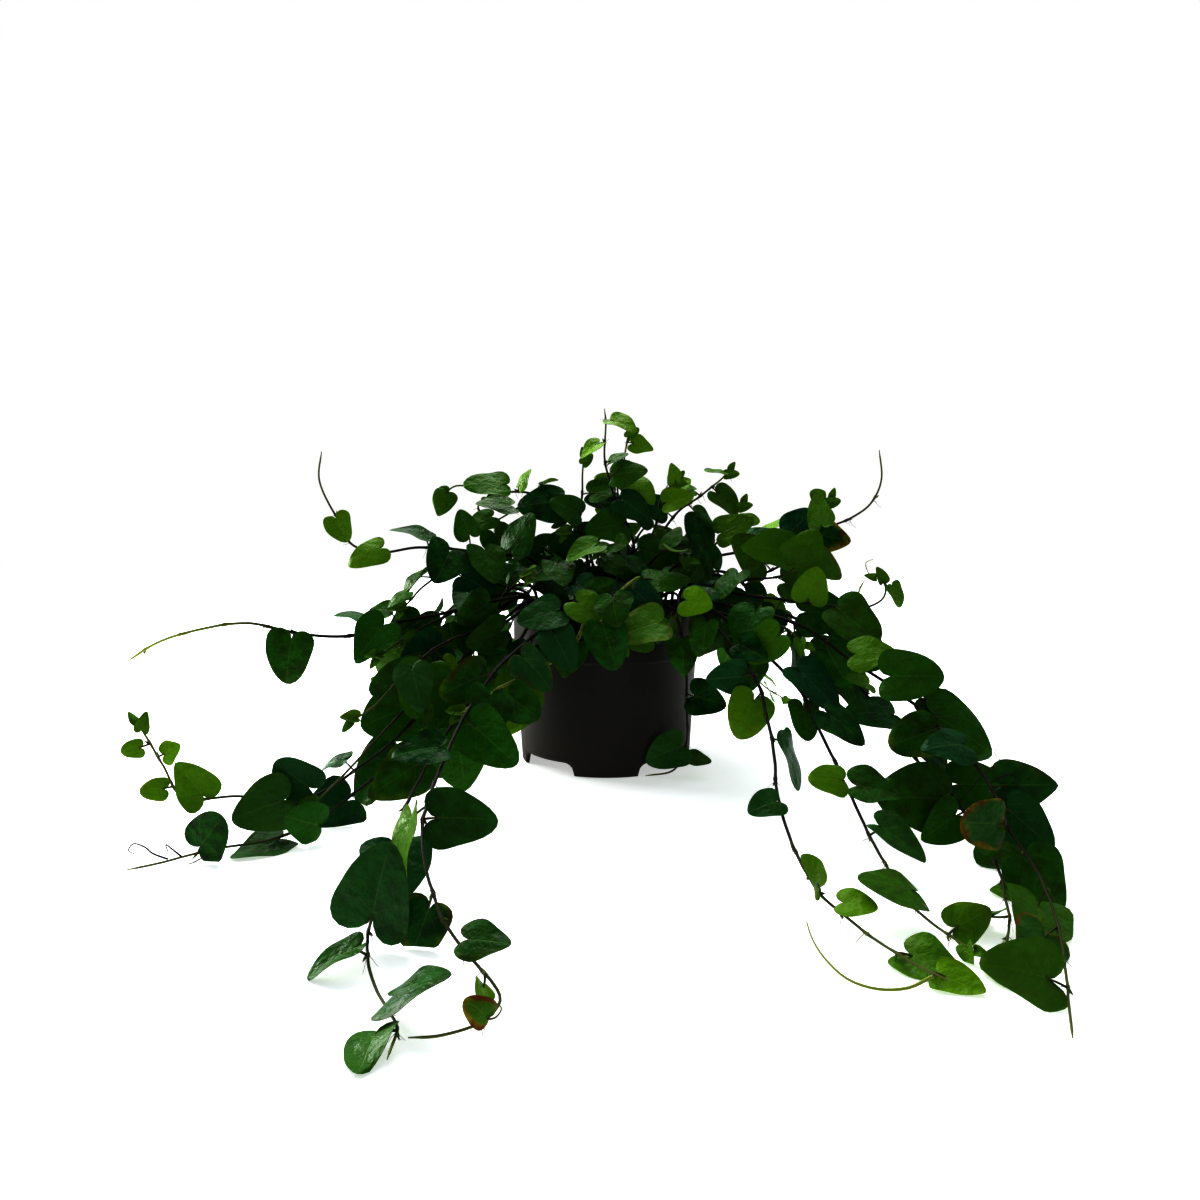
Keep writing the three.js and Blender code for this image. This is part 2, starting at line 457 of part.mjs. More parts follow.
// All stems with their lines, and all leaves, each placed clear of the ones before it.
function growPlant() {
  const stems = [...SHOWN_STEMS, ...ruledStems()].map((stem, index) => {
    const curve = stemCurve(stem);
    const length = curve.getLength();
    return { index, curve, length, grown: [], leaves: ruledLeaves(index, stem.rule ?? {}, length), ...stem };
  });
  const sticks = [];
  for (const stem of stems) {
    const count = Math.ceil(stem.length / 2);
    for (let i = 0; i <= count; i++) {
      sticks.push({ stem: stem.index, point: stem.curve.getPointAt(i / count), radius: stemRadius(i / count) });
    }
  }
  // Of the leaves that show, the largest are placed first.
  const order = stems.flatMap((stem) => stem.leaves.map((leaf, number) => ({ stem, number,
    station: leaf[0], rank: stem.rule ? 0 : leaf[1] })));
  order.sort((a, b) => b.rank - a.rank);
  const leaves = [];
  for (const { stem, number, station } of order) {
    const spot = stem.curve.getPointAt(station / stem.length);
    const tangent = stem.curve.getTangentAt(station / stem.length);
    for (let attempt = 0; attempt < LEAF_TRIES; attempt++) {
      const leaf = tryLeaf(stem, number, attempt, spot, tangent);
      if (!isClear(leaf, leaves, sticks)) continue;
      leaves.push(leaf);
      stem.grown.push(leaf);
      leaf.stalk.forEach((point) => sticks.push({ stem: stem.index, point, radius: PETIOLE_HALF_WIDTH }));
      break;
    }
  }
  for (const stem of stems) stem.grown.sort((a, b) => a.station - b.station);
  return stems;
}

// Solids
function toManifold(geometry) {
  const bare = geometry.clone();
  bare.deleteAttribute('normal');
  bare.deleteAttribute('uv');
  const merged = mergeVertices(bare, 1e-4);
  return new wasm.Manifold(new wasm.Mesh({
    numProp: 3,
    vertProperties: new Float32Array(merged.attributes.position.array),
    triVerts: new Uint32Array(merged.index.array),
  }));
}

function toGeometry(solid) {
  const mesh = solid.getMesh();
  return new THREE.BufferGeometry()
    .setAttribute('position', new THREE.BufferAttribute(mesh.vertProperties, 3))
    .setIndex(new THREE.BufferAttribute(mesh.triVerts, 1))
    .toNonIndexed();
}

function closedMesh(points, faces) {
  const geometry = new THREE.BufferGeometry().setFromPoints(points);
  geometry.setIndex(faces.flat());
  return toManifold(geometry);
}

// A leafy stem as one skin. The stem is a row of three-cornered rings: one at the foot, one at
// the soil, two beside each other at each leaf and one wherever the next is far. Between a
// leaf's two rings the face that looks at the leaf is left open, and its petiole grows from there.
function leafyStemSolid(stem) {
  const points = [];
  const faces = [];
  const add = (point) => points.push(point) - 1;
  const quad = (a, b, c, d) => faces.push([a, b, c], [a, c, d]);
  let across = new THREE.Vector3(1, 0, 0);
  let turn = 0;
  let before = null;

  const ring = (centre, tangent, share, open = -1) => {
    across = across.addScaledVector(tangent, -across.dot(tangent)).normalize();
    const other = new THREE.Vector3().crossVectors(tangent, across);
    const radius = stemRadius(share);
    const now = [0, 1, 2].map((k) => add(centre.clone()
      .addScaledVector(across, radius * Math.cos(turn + (TAU * k) / 3))
      .addScaledVector(other, radius * Math.sin(turn + (TAU * k) / 3))));
    if (!before) faces.push([now[0], now[2], now[1]]);
    for (let k = 0; before && k < 3; k++) {
      if (k !== open) quad(before[k], before[(k + 1) % 3], now[(k + 1) % 3], now[k]);
    }
    const last = before;
    before = now;
    return last;
  };
  const ringAt = (s, open) => {
    const share = s / stem.length;
    return ring(stem.curve.getPointAt(share), stem.curve.getTangentAt(share), share, open);
  };

  ring(new THREE.Vector3(...stem.root, SOIL_TOP - HOLE_DEPTH + FIT), UP, 0);
  ring(new THREE.Vector3(...stem.root, STEM_START), UP, 0);
  let from = 0;
  const fillTo = (s) => {
    const parts = Math.ceil((s - from) / STEM_STEP);
    for (let k = 1; k < parts; k++) ringAt(mix(from, s, k / parts));
    from = s;
  };
  for (const leaf of stem.grown) {
    fillTo(leaf.station);
    // The ring turns by the least angle that brings one of its faces round to the petiole.
    const tangent = stem.curve.getTangentAt(leaf.station / stem.length);
    across.addScaledVector(tangent, -across.dot(tangent)).normalize();
    const other = new THREE.Vector3().crossVectors(tangent, across);
    const petiole = leaf.base.clone().sub(leaf.spot);
    const wanted = Math.atan2(petiole.dot(other), petiole.dot(across)) - TAU / 6 - turn;
    const face = ((Math.round(wanted / (TAU / 3)) % 3) + 3) % 3;
    turn += wanted - Math.round(wanted / (TAU / 3)) * (TAU / 3);
    ringAt(leaf.station - PETIOLE_HALF_WIDTH);
    const low = ringAt(leaf.station + PETIOLE_HALF_WIDTH, face);
    const next = (face + 1) % 3;
    const around = new THREE.Vector3().crossVectors(tangent, petiole);
    const root = around.dot(leaf.normal) >= 0
      ? [before[next], before[face], low[next], low[face]]
      : [low[face], low[next], before[face], before[next]];
    addLeaf(leaf, root, add, quad, faces);
  }
  fillTo(stem.length);
  ringAt(stem.length);
  faces.push(before);
  return closedMesh(points, faces);
}

// A leaf as one plate on its petiole: two round lobes, two sides, the tip and a folded middle.
// root holds the stem's corners: right above, right below, left above, left below.
function addLeaf(leaf, root, add, quad, faces) {
  const w = PETIOLE_HALF_WIDTH;
  const half = LEAF_THICKNESS / 2;
  const right = leaf.length < SMALL_LEAF
    ? [[w, 0], rim(leaf, 95 * DEGREE, 1)]
    : [[w, 0], rim(leaf, 144 * DEGREE, 1, 1.04), rim(leaf, 64 * DEGREE, 1, 1.07)];
  const left = right.map(([x, y]) => [-x, y]).reverse();
  const pair = ([x, y]) => {
    const middle = bladePoint(leaf, x, y);
    return [1, -1].map((side) => add(middle.clone().addScaledVector(leaf.normal, side * half)));
  };
  const edge = [[root[0], root[1]], ...[...right, rim(leaf, 0, 1), ...left].map(pair), [root[2], root[3]]];
  const [top, bottom] = pair([0, leaf.length * 0.42]);
  const end = edge.length - 1;
  for (let i = 0; i < end; i++) quad(edge[i][1], edge[i + 1][1], edge[i + 1][0], edge[i][0]);
  quad(edge[0][0], edge[1][0], edge[end - 1][0], edge[end][0]);
  quad(edge[0][1], edge[end][1], edge[end - 1][1], edge[1][1]);
  for (let i = 1; i < end; i++) {
    const j = i < end - 1 ? i + 1 : 1;
    faces.push([edge[i][0], edge[j][0], top], [edge[j][1], edge[i][1], bottom]);
  }
}

// The pot's wall, band, floor and pressed foot as one turned profile, from the axis round to it.
function potSolid() {
  const bandFoot = POT_HEIGHT - POT_BAND_HEIGHT;
  const wallTop = POT_RIM_RADIUS - POT_BAND_STEP;
  const inside = POT_FLOOR + POT_WALL;
  const profile = [
    [0, 0], [FOOT_RADIUS, 0], [FOOT_RADIUS + 2, POT_FLOOR], [POT_BASE_RADIUS - 4, POT_FLOOR],
    [POT_BASE_RADIUS - 2, 0], [POT_BASE_RADIUS, 0.8], [wallTop, bandFoot - 1],
    [POT_RIM_RADIUS, bandFoot], [POT_RIM_RADIUS, POT_HEIGHT], [POT_RIM_RADIUS - POT_WALL, POT_HEIGHT],
    [wallTop - POT_WALL, bandFoot - 1], [POT_BASE_RADIUS - 4, inside],
    [FOOT_RADIUS, inside], [FOOT_RADIUS - 2, POT_WALL], [0, POT_WALL],
  ].map(([r, z]) => new THREE.Vector2(r, z));
  let pot = toManifold(new THREE.LatheGeometry(profile, POT_SIDES).rotateX(Math.PI / 2));
  for (let i = 0; i < NOTCH_COUNT; i++) pot = pot.subtract(notchCutter((i + 0.5) * (TAU / NOTCH_COUNT)));
  for (let i = 0; i < DRAIN_COUNT; i++) {
    const angle = (TAU * i) / DRAIN_COUNT;
    const drain = new THREE.CylinderGeometry(DRAIN_RADIUS, DRAIN_RADIUS, POT_WALL * 3, 7)
      .rotateX(Math.PI / 2)
      .translate(DRAIN_CIRCLE * Math.cos(angle), DRAIN_CIRCLE * Math.sin(angle), POT_FLOOR + 1);
    pot = pot.subtract(toManifold(drain));
  }
  return pot;
}

// A low arch with round upper corners, pushed outwards through the skirt.
function notchCutter(angle) {
  const half = NOTCH_WIDTH / 2;
  const arch = new THREE.Shape().moveTo(-half, -1).lineTo(half, -1).lineTo(half, NOTCH_HEIGHT - NOTCH_CORNER);
  arch.absarc(half - NOTCH_CORNER, NOTCH_HEIGHT - NOTCH_CORNER, NOTCH_CORNER, 0, Math.PI / 2);
  arch.lineTo(-half + NOTCH_CORNER, NOTCH_HEIGHT);
  arch.absarc(-half + NOTCH_CORNER, NOTCH_HEIGHT - NOTCH_CORNER, NOTCH_CORNER, Math.PI / 2, Math.PI);
  const cutter = new THREE.ExtrudeGeometry(arch, { depth: 30, bevelEnabled: false, curveSegments: 2 })
    .rotateX(Math.PI / 2)
    .rotateZ(Math.PI / 2)
    .translate(POT_BASE_RADIUS - 20, 0, 0)
    .rotateZ(angle);
  return toManifold(cutter);
}

// The soil fills the pot to just below the rim, with a plain hole for each stem.
function soilSolid(stems) {
  const bandFoot = POT_HEIGHT - POT_BAND_HEIGHT;
  const wallTop = POT_RIM_RADIUS - POT_BAND_STEP;
  const inside = POT_FLOOR + POT_WALL + FIT;
  const profile = [
    [0, POT_WALL + FIT], [FOOT_RADIUS - 2 - FIT, POT_WALL + FIT], [FOOT_RADIUS - FIT, inside],
    [POT_BASE_RADIUS - 4 - FIT, inside], [wallTop - POT_WALL - FIT, bandFoot - 1],
    [POT_RIM_RADIUS - POT_WALL - 2 * FIT, SOIL_TOP - 2], [POT_RIM_RADIUS - POT_WALL - 4, SOIL_TOP],
    [0, SOIL_TOP + SOIL_CROWN],
  ].map(([r, z]) => new THREE.Vector2(r, z));
  const soil = toManifold(new THREE.LatheGeometry(profile, SOIL_SIDES).rotateX(Math.PI / 2));
  return stems.reduce((solid, stem) => {
    const hole = new THREE.CylinderGeometry(HOLE_RADIUS, HOLE_RADIUS, HOLE_DEPTH + 10, 3)
      .rotateX(Math.PI / 2)
      .rotateZ(Math.PI / 2)
      .translate(stem.root[0], stem.root[1], SOIL_TOP - HOLE_DEPTH / 2 + 5);
    return solid.subtract(toManifold(hole));
  }, soil);
}

const potPlastic = new THREE.MeshStandardMaterial({ color: '#3a3733', roughness: 0.55, metalness: 0 });
const pottingSoil = new THREE.MeshStandardMaterial({ color: '#2a1d14', roughness: 1, metalness: 0 });
const grownLeaf = new THREE.MeshStandardMaterial({ color: '#1d5a24', roughness: 0.42, metalness: 0 });

function namedMesh(name, solid, material) {
  const mesh = new THREE.Mesh(toGeometry(solid), material);
  mesh.name = name;
  return mesh;
}

const plant = new THREE.Group();
const stems = growPlant();
plant.add(namedMesh('pot', potSolid(), potPlastic));
plant.add(namedMesh('soil', soilSolid(stems), pottingSoil));
for (const stem of stems) plant.add(namedMesh(stem.name, leafyStemSolid(stem), grownLeaf));

export default plant;
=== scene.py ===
import functools
import math

import bpy
import numpy as np
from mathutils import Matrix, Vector


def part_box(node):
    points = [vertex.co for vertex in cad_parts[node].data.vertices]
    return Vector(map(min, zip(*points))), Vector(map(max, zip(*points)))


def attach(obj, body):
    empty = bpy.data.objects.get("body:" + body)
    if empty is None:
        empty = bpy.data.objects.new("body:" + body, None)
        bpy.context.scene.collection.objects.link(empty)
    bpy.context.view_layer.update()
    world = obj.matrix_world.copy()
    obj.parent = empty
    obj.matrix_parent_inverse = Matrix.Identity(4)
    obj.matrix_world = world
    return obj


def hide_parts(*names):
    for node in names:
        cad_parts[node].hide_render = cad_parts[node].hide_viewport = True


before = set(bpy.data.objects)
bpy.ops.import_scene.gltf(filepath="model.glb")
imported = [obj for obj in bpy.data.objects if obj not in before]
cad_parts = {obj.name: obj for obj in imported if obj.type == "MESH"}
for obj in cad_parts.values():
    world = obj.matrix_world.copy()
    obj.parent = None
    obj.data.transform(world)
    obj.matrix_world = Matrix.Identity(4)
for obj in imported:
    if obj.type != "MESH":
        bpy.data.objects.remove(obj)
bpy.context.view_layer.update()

# Pot.
# A round nursery pot, injection moulded from dark taupe polypropylene with a fine satin grain.
# An upright band stands proud below its rim, and four low arches in the foot drain it sideways.
# Lengths are in millimetres here, and each mesh is scaled to metres as it is made.
MM = 0.001
TAU = math.tau
POT_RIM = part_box("pot")[1]
POT_HEIGHT = POT_RIM.z / MM
POT_RIM_RADIUS = POT_RIM.y / MM
POT_BASE_RADIUS = 58
POT_WALL = 2
POT_BAND_HEIGHT = 29
POT_BAND_STEP = 0.9
POT_FLOOR = 10
POT_ROUNDING = 0.8
FOOT_RADIUS = 14
NOTCH_COUNT = 4
NOTCH_WIDTH = 48
NOTCH_HEIGHT = 8.5
NOTCH_CORNER = 7
DRAIN_COUNT = 6
DRAIN_RADIUS = 4
DRAIN_CIRCLE = 40
POT_SIDES = 176
DRAIN_SIDES = 24
AXIS_GAP = 0.5
COLOURS = {"data_type": "RGBA"}


def linear(colour):
    """Red, green, blue and 1 of an sRGB hex colour, turned to linear light."""
    parts = np.array([int(colour[i:i + 2], 16) / 255 for i in (1, 3, 5)])
    curve = np.where(parts <= 0.04045, parts / 12.92, ((parts + 0.055) / 1.055) ** 2.4)
    return (*curve, 1.0)


def add(tree, kind, *values, named=None, **settings):
    """A new shader node. Settings go to its properties, values to its inputs in their order, and
    named values by name. Where a value is a node, its first output is linked."""
    made = tree.nodes.new("ShaderNode" + kind)
    for name, setting in settings.items():
        setattr(made, name, setting)
    pairs = list(zip([socket for socket in made.inputs if socket.enabled], values))
    for socket, value in pairs + [(made.inputs[name], value) for name, value in (named or {}).items()]:
        if isinstance(value, bpy.types.Node):
            value = next(output for output in value.outputs if output.enabled)
        if isinstance(value, bpy.types.NodeSocket):
            tree.links.new(value, socket)
        else:
            socket.default_value = value
    return made


def new_material(name):
    """An empty material, and the function that adds a node to it."""
    material = bpy.data.materials.new(name)
    material.use_nodes = True
    material.node_tree.nodes.clear()
    return material, functools.partial(add, material.node_tree)


def grid_quads(rows, columns):
    """Corners of the quads of a grid whose last column is joined to its first."""
    row, column = np.meshgrid(np.arange(rows - 1), np.arange(columns), indexing="ij")
    beside = (column + 1) % columns
    corners = [row * columns + column, row * columns + beside,
               (row + 1) * columns + beside, (row + 1) * columns + column]
    return np.stack(corners, -1).reshape(-1, 4)


def unit(vectors):
    """Vectors divided by their lengths."""
    return vectors / np.maximum(np.linalg.norm(vectors, axis=-1, keepdims=True), 1e-9)


def rounded(outline, radius, steps=4):
    """An outline with each inner corner P replaced by the parabola from A to B, which lie up to
    the radius before and after it: (1-t)^2 A + 2t(1-t) P + t^2 B."""
    p = np.array(outline, float)
    sides = p[:-2] - p[1:-1], p[2:] - p[1:-1]
    reach = np.minimum(radius, 0.45 * np.min([np.linalg.norm(side, axis=1) for side in sides], 0))[:, None]
    a, b = (p[1:-1] + unit(side) * reach for side in sides)
    t = np.linspace(0, 1, steps + 1)[:, None, None]
    arcs = (1 - t) ** 2 * a + 2 * t * (1 - t) * p[1:-1] + t ** 2 * b
    return np.vstack([p[:1], arcs.transpose(1, 0, 2).reshape(-1, 2), p[-1:]])


def turned(profile, angles):
    """A closed body turned from a profile of radius and height about the z axis: each point
    goes round as radius cos a, radius sin a, height. Its first and last rings are capped."""
    radius, height = np.array(profile, float).T
    points = np.stack([np.outer(radius, np.cos(angles)), np.outer(radius, np.sin(angles)),
                       np.repeat(height[:, None], len(angles), 1)], -1)
    count = len(angles)
    caps = np.array([np.arange(count)[::-1], np.arange(count) + count * (len(radius) - 1)])
    return {"points": points.reshape(-1, 3), "faces": [grid_quads(len(radius), count), caps]}


def piece(name, body, material, slot, *nodes, sharp=40):
    """A mesh object of a body's points, faces and values by point, smooth except across edges
    sharper than the angle. It rides on the part and stands for the CAD nodes named."""
    mesh = bpy.data.meshes.new(name)
    faces = [face for group in body["faces"] for face in group.tolist()]
    mesh.from_pydata((body["points"] * MM).tolist(), [], faces)
    for key, values in body.items():
        if key not in ("points", "faces"):
            kind, field = ("FLOAT", "value") if values.ndim == 1 else ("FLOAT_VECTOR", "vector")
            values = values.astype(np.float32).ravel()
            mesh.attributes.new(key, kind, "POINT").data.foreach_set(field, values)
    mesh.materials.append(material)
    mesh.shade_smooth()
    mesh.set_sharp_from_angle(angle=math.radians(sharp))
    made = bpy.data.objects.new(name, mesh)
    bpy.context.scene.collection.objects.link(made)
    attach(made, "root")
    if nodes:
        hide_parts(*nodes)
    return made


def moulded_polypropylene():
    """Satin moulded plastic: an even dark taupe with a fine grain of 0.4 mm, faint upright flow
    marks 6 mm wide, and a dry film of dust and lime that is thickest in the lowest 60 mm."""
    material, node = new_material("moulded_polypropylene")
    place = node("TexCoord").outputs["Object"]
    grain = node("TexNoise", place, 1 / (0.4 * MM))
    squeezed = node("Mapping", place, named={"Scale": (1, 1, 0.08)})
    flow = node("TexNoise", squeezed, 1 / (6 * MM), 3.0)
    dust = node("TexNoise", place, 1 / (9 * MM), 6.0)
    low = node("MapRange", node("SeparateXYZ", place).outputs["Z"], 0.0, 60 * MM, 0.5, 0.12)
    film = node("Math", dust, low, operation="MULTIPLY")
    tone = node("Mix", flow, linear("#13110a"), linear("#1d1a10"), **COLOURS)
    dusty = node("Mix", film, tone, linear("#463c2a"), **COLOURS)
    rough = node("MapRange", film, 0.0, 0.35, 0.42, 0.62)
    bump = node("Bump", 0.25, 0.05 * MM, named={"Height": grain})
    node("OutputMaterial", node("BsdfPrincipled", named={
        "Base Color": dusty, "Roughness": rough, "Normal": bump, "IOR": 1.49, "Specular IOR Level": 0.3}))
    return material


def pot_body():
    """The turned wall, floor and pressed foot. Below the floor the skirt's lower edge rises into
    each arch: a point at height z of the skirt goes to arch + (floor - arch) z / floor."""
    band_foot = POT_HEIGHT - POT_BAND_HEIGHT
    wall_top = POT_RIM_RADIUS - POT_BAND_STEP
    inside = POT_FLOOR + POT_WALL
    profile = rounded([
        (AXIS_GAP, 0), (FOOT_RADIUS, 0), (FOOT_RADIUS + 2, POT_FLOOR), (POT_BASE_RADIUS - 4, POT_FLOOR),
        (POT_BASE_RADIUS - 2, 0), (POT_BASE_RADIUS, 0.4), (POT_BASE_RADIUS + 0.7, POT_FLOOR),
        (wall_top, band_foot - 1), (POT_RIM_RADIUS, band_foot),
        (POT_RIM_RADIUS, POT_HEIGHT), (POT_RIM_RADIUS - POT_WALL, POT_HEIGHT),
        (wall_top - POT_WALL, band_foot - 1), (POT_BASE_RADIUS - 4, inside), (FOOT_RADIUS, inside),
        (FOOT_RADIUS - 2, POT_WALL), (AXIS_GAP, POT_WALL)], POT_ROUNDING)
    half = NOTCH_WIDTH / 2
    turn = TAU / NOTCH_COUNT
    edges = half / POT_BASE_RADIUS * np.array([-1.012, -1.0, 1.0, 1.012])
    middles = (np.arange(NOTCH_COUNT) + 0.5) * turn
    even = np.arange(POT_SIDES) / POT_SIDES * TAU
    angles = np.unique(np.concatenate([even, (middles[:, None] + edges).ravel()]))
    body = turned(profile, angles)
    x, y, z = body["points"].T
    across = (np.arctan2(y, x) % turn - turn / 2) * POT_BASE_RADIUS
    corner = np.clip(np.abs(across) - (half - NOTCH_CORNER), 0, NOTCH_CORNER)
    arch = NOTCH_HEIGHT - NOTCH_CORNER + np.sqrt(NOTCH_CORNER ** 2 - corner ** 2)
    arch = np.where(np.abs(across) <= half * 1.001, arch, 0)
    skirt = (np.hypot(x, y) > POT_BASE_RADIUS - 5) & (z < POT_FLOOR)
    body["points"][:, 2] = np.where(skirt, arch + (POT_FLOOR - arch) * z / POT_FLOOR, z)
    return body


pot_plastic = moulded_polypropylene()
pot = piece("nursery_pot", pot_body(), pot_plastic, "pot_plastic", "pot")

# The drain holes are cut by a loose cutter, which goes once the cut is in the pot's mesh.
cutter = turned([(DRAIN_RADIUS, POT_FLOOR - 2), (DRAIN_RADIUS, POT_FLOOR + POT_WALL + 2)],
                np.arange(DRAIN_SIDES) / DRAIN_SIDES * TAU)
turns = np.arange(DRAIN_COUNT) * TAU / DRAIN_COUNT
centres = DRAIN_CIRCLE * np.stack([np.cos(turns), np.sin(turns), 0 * turns], -1)
cutter["faces"] = [faces + len(cutter["points"]) * i for i in range(DRAIN_COUNT) for faces in cutter["faces"]]
cutter["points"] = (cutter["points"] + centres[:, None, :]).reshape(-1, 3)
drills = piece("drills", cutter, pot_plastic, "pot_plastic")
cut = pot.modifiers.new("drains", "BOOLEAN")
cut.object = drills
cut.solver = "EXACT"
bpy.context.view_layer.update()
pot.data = bpy.data.meshes.new_from_object(pot.evaluated_get(bpy.context.evaluated_depsgraph_get()))
pot.modifiers.clear()
bpy.data.objects.remove(drills)

# Soil.
# Peat with bark fibre and a little perlite fills the pot to a finger below the rim. It is
# crumbly and damp, so it is dark brown with matt lumps and a few white grains on top.
FIT = 0.3
SOIL_TOP = 95
SOIL_CROWN = 2
SOIL_SIDES = 110
SOIL_RINGS = 26
CRUMB_COUNT = 520
CRUMB_SIZE = (0.6, 1.9)


def peat_and_bark():
    """Damp peat: lumps of 5 mm in two browns with fibres 1.5 mm thick, white where it is perlite,
    and quite rough."""
    material, node = new_material("peat_and_bark")
    place = node("TexCoord").outputs["Object"]
    lumps = node("TexNoise", place, 1 / (5 * MM), 8.0, 0.7)
    fibre = node("TexVoronoi", place, 1 / (1.5 * MM)).outputs["Color"]
    white = node("Attribute", attribute_name="perlite").outputs["Fac"]
    soil = node("Mix", node("MapRange", lumps, 0.35, 0.65), linear("#150e09"), linear("#3f2a1b"), **COLOURS)
    bark = node("MapRange", fibre, 0.75, 0.9, 0.0, 0.5)
    fibrous = node("Mix", bark, soil, linear("#5d4129"), **COLOURS)
    grains = node("Mix", white, fibrous, linear("#b9b3a3"), **COLOURS)
    bump = node("Bump", 0.8, 0.8 * MM, named={"Height": lumps})
    node("OutputMaterial", node("BsdfPrincipled", named={
        "Base Color": grains, "Roughness": 0.92, "Normal": bump}))
    return material


def soil_body():
    """A turned filling with a low crown. Its top is lifted by lumps up to 0.9 mm high, the sum
    of three sine waves 9 to 16 mm long that cross, which die out at the wall."""
    inside = POT_FLOOR + POT_WALL + FIT
    band_foot = POT_HEIGHT - POT_BAND_HEIGHT
    edge = POT_RIM_RADIUS - POT_WALL - 2 * FIT
    rings = np.linspace(edge - 3, AXIS_GAP, SOIL_RINGS)
    top = [(r, SOIL_TOP + SOIL_CROWN * (1 - (r / edge) ** 2)) for r in rings]
    side = POT_RIM_RADIUS - POT_BAND_STEP - POT_WALL - FIT
    profile = [(AXIS_GAP, POT_WALL + FIT), (FOOT_RADIUS - 2 - FIT, POT_WALL + FIT),
               (FOOT_RADIUS - FIT, inside), (POT_BASE_RADIUS - 4 - FIT, inside), (side, band_foot - 1),
               (edge, SOIL_TOP - 3)]
    body = turned(profile + top, np.arange(SOIL_SIDES) / SOIL_SIDES * TAU)
    x, y, z = body["points"].T
    lumps = np.sin(x / 2.3 + np.sin(y / 3.1)) + np.sin(y / 1.5 + 2) + np.sin((x + y) / 3.7)
    inner = np.clip((edge - np.hypot(x, y)) / 6, 0, 1)
    body["points"][:, 2] = z + np.where(z > SOIL_TOP - 2, 0.3 * lumps * inner, 0)
    body["perlite"] = np.zeros(len(z))
    return body


def crumb_body():
    """Lumps of soil spread as sunflower seeds are, the nth at radius edge sqrt(n / count) and
    2.4 n radians round. Each is an octahedron whose six corners are pushed out unevenly."""
    number = np.arange(CRUMB_COUNT)
    shift = np.sin(number * 12.9898)
    away = (POT_RIM_RADIUS - POT_WALL - 4) * np.sqrt((number + 0.5) / CRUMB_COUNT)
    centre = np.stack([away * np.cos(2.4 * number + shift * 0.3), away * np.sin(2.4 * number + shift * 0.3),
                       SOIL_TOP + SOIL_CROWN * (1 - (away / POT_RIM_RADIUS) ** 2) + 0.3], -1)
    size = CRUMB_SIZE[0] + (CRUMB_SIZE[1] - CRUMB_SIZE[0]) * np.abs(np.sin(number * 78.233)) ** 3
    corners = np.array([(1, 0, 0), (0, 1, 0), (-1, 0, 0), (0, -1, 0), (0, 0, 1), (0, 0, -1)], float)
    uneven = 1 + 0.35 * np.sin(number[:, None] * 3.7 + np.arange(6) * 2.1)
    points = centre[:, None] + corners * (size[:, None] * uneven)[..., None]
    sides = np.array([(0, 1, 4), (1, 2, 4), (2, 3, 4), (3, 0, 4), (1, 0, 5), (2, 1, 5), (3, 2, 5), (0, 3, 5)])
    faces = (sides + 6 * number[:, None, None]).reshape(-1, 3)
    white = np.repeat((number % 17 == 0).astype(float), 6)
    return {"points": points.reshape(-1, 3), "faces": [faces], "perlite": white}


peat = peat_and_bark()
piece("potting_soil", soil_body(), peat, "potting_soil", "soil")
piece("soil_crumbs", crumb_body(), peat, "potting_soil", sharp=20)

# Shoots.
# Thin woody stems, one to two years old, that stand in the soil, arch over the rim and trail. They
# are round, brown at the foot and green at the growing tip, and thicker at the joints, where hairy
# roots, buds and the leaves' petioles stand. All of it grows in one piece.
DEGREE = math.pi / 180
UP = np.array([0.0, 0, 1])
FRONT = np.array([0.0, -1, 0])
HOLE_DEPTH = 12
STEM_START = SOIL_TOP + SOIL_CROWN + 1
STEM_RADIUS_ROOT = 1.35
STEM_RADIUS_TIP = 0.75
CURVE_STEPS = 200
YOUNG, WITHERED = 1, 2
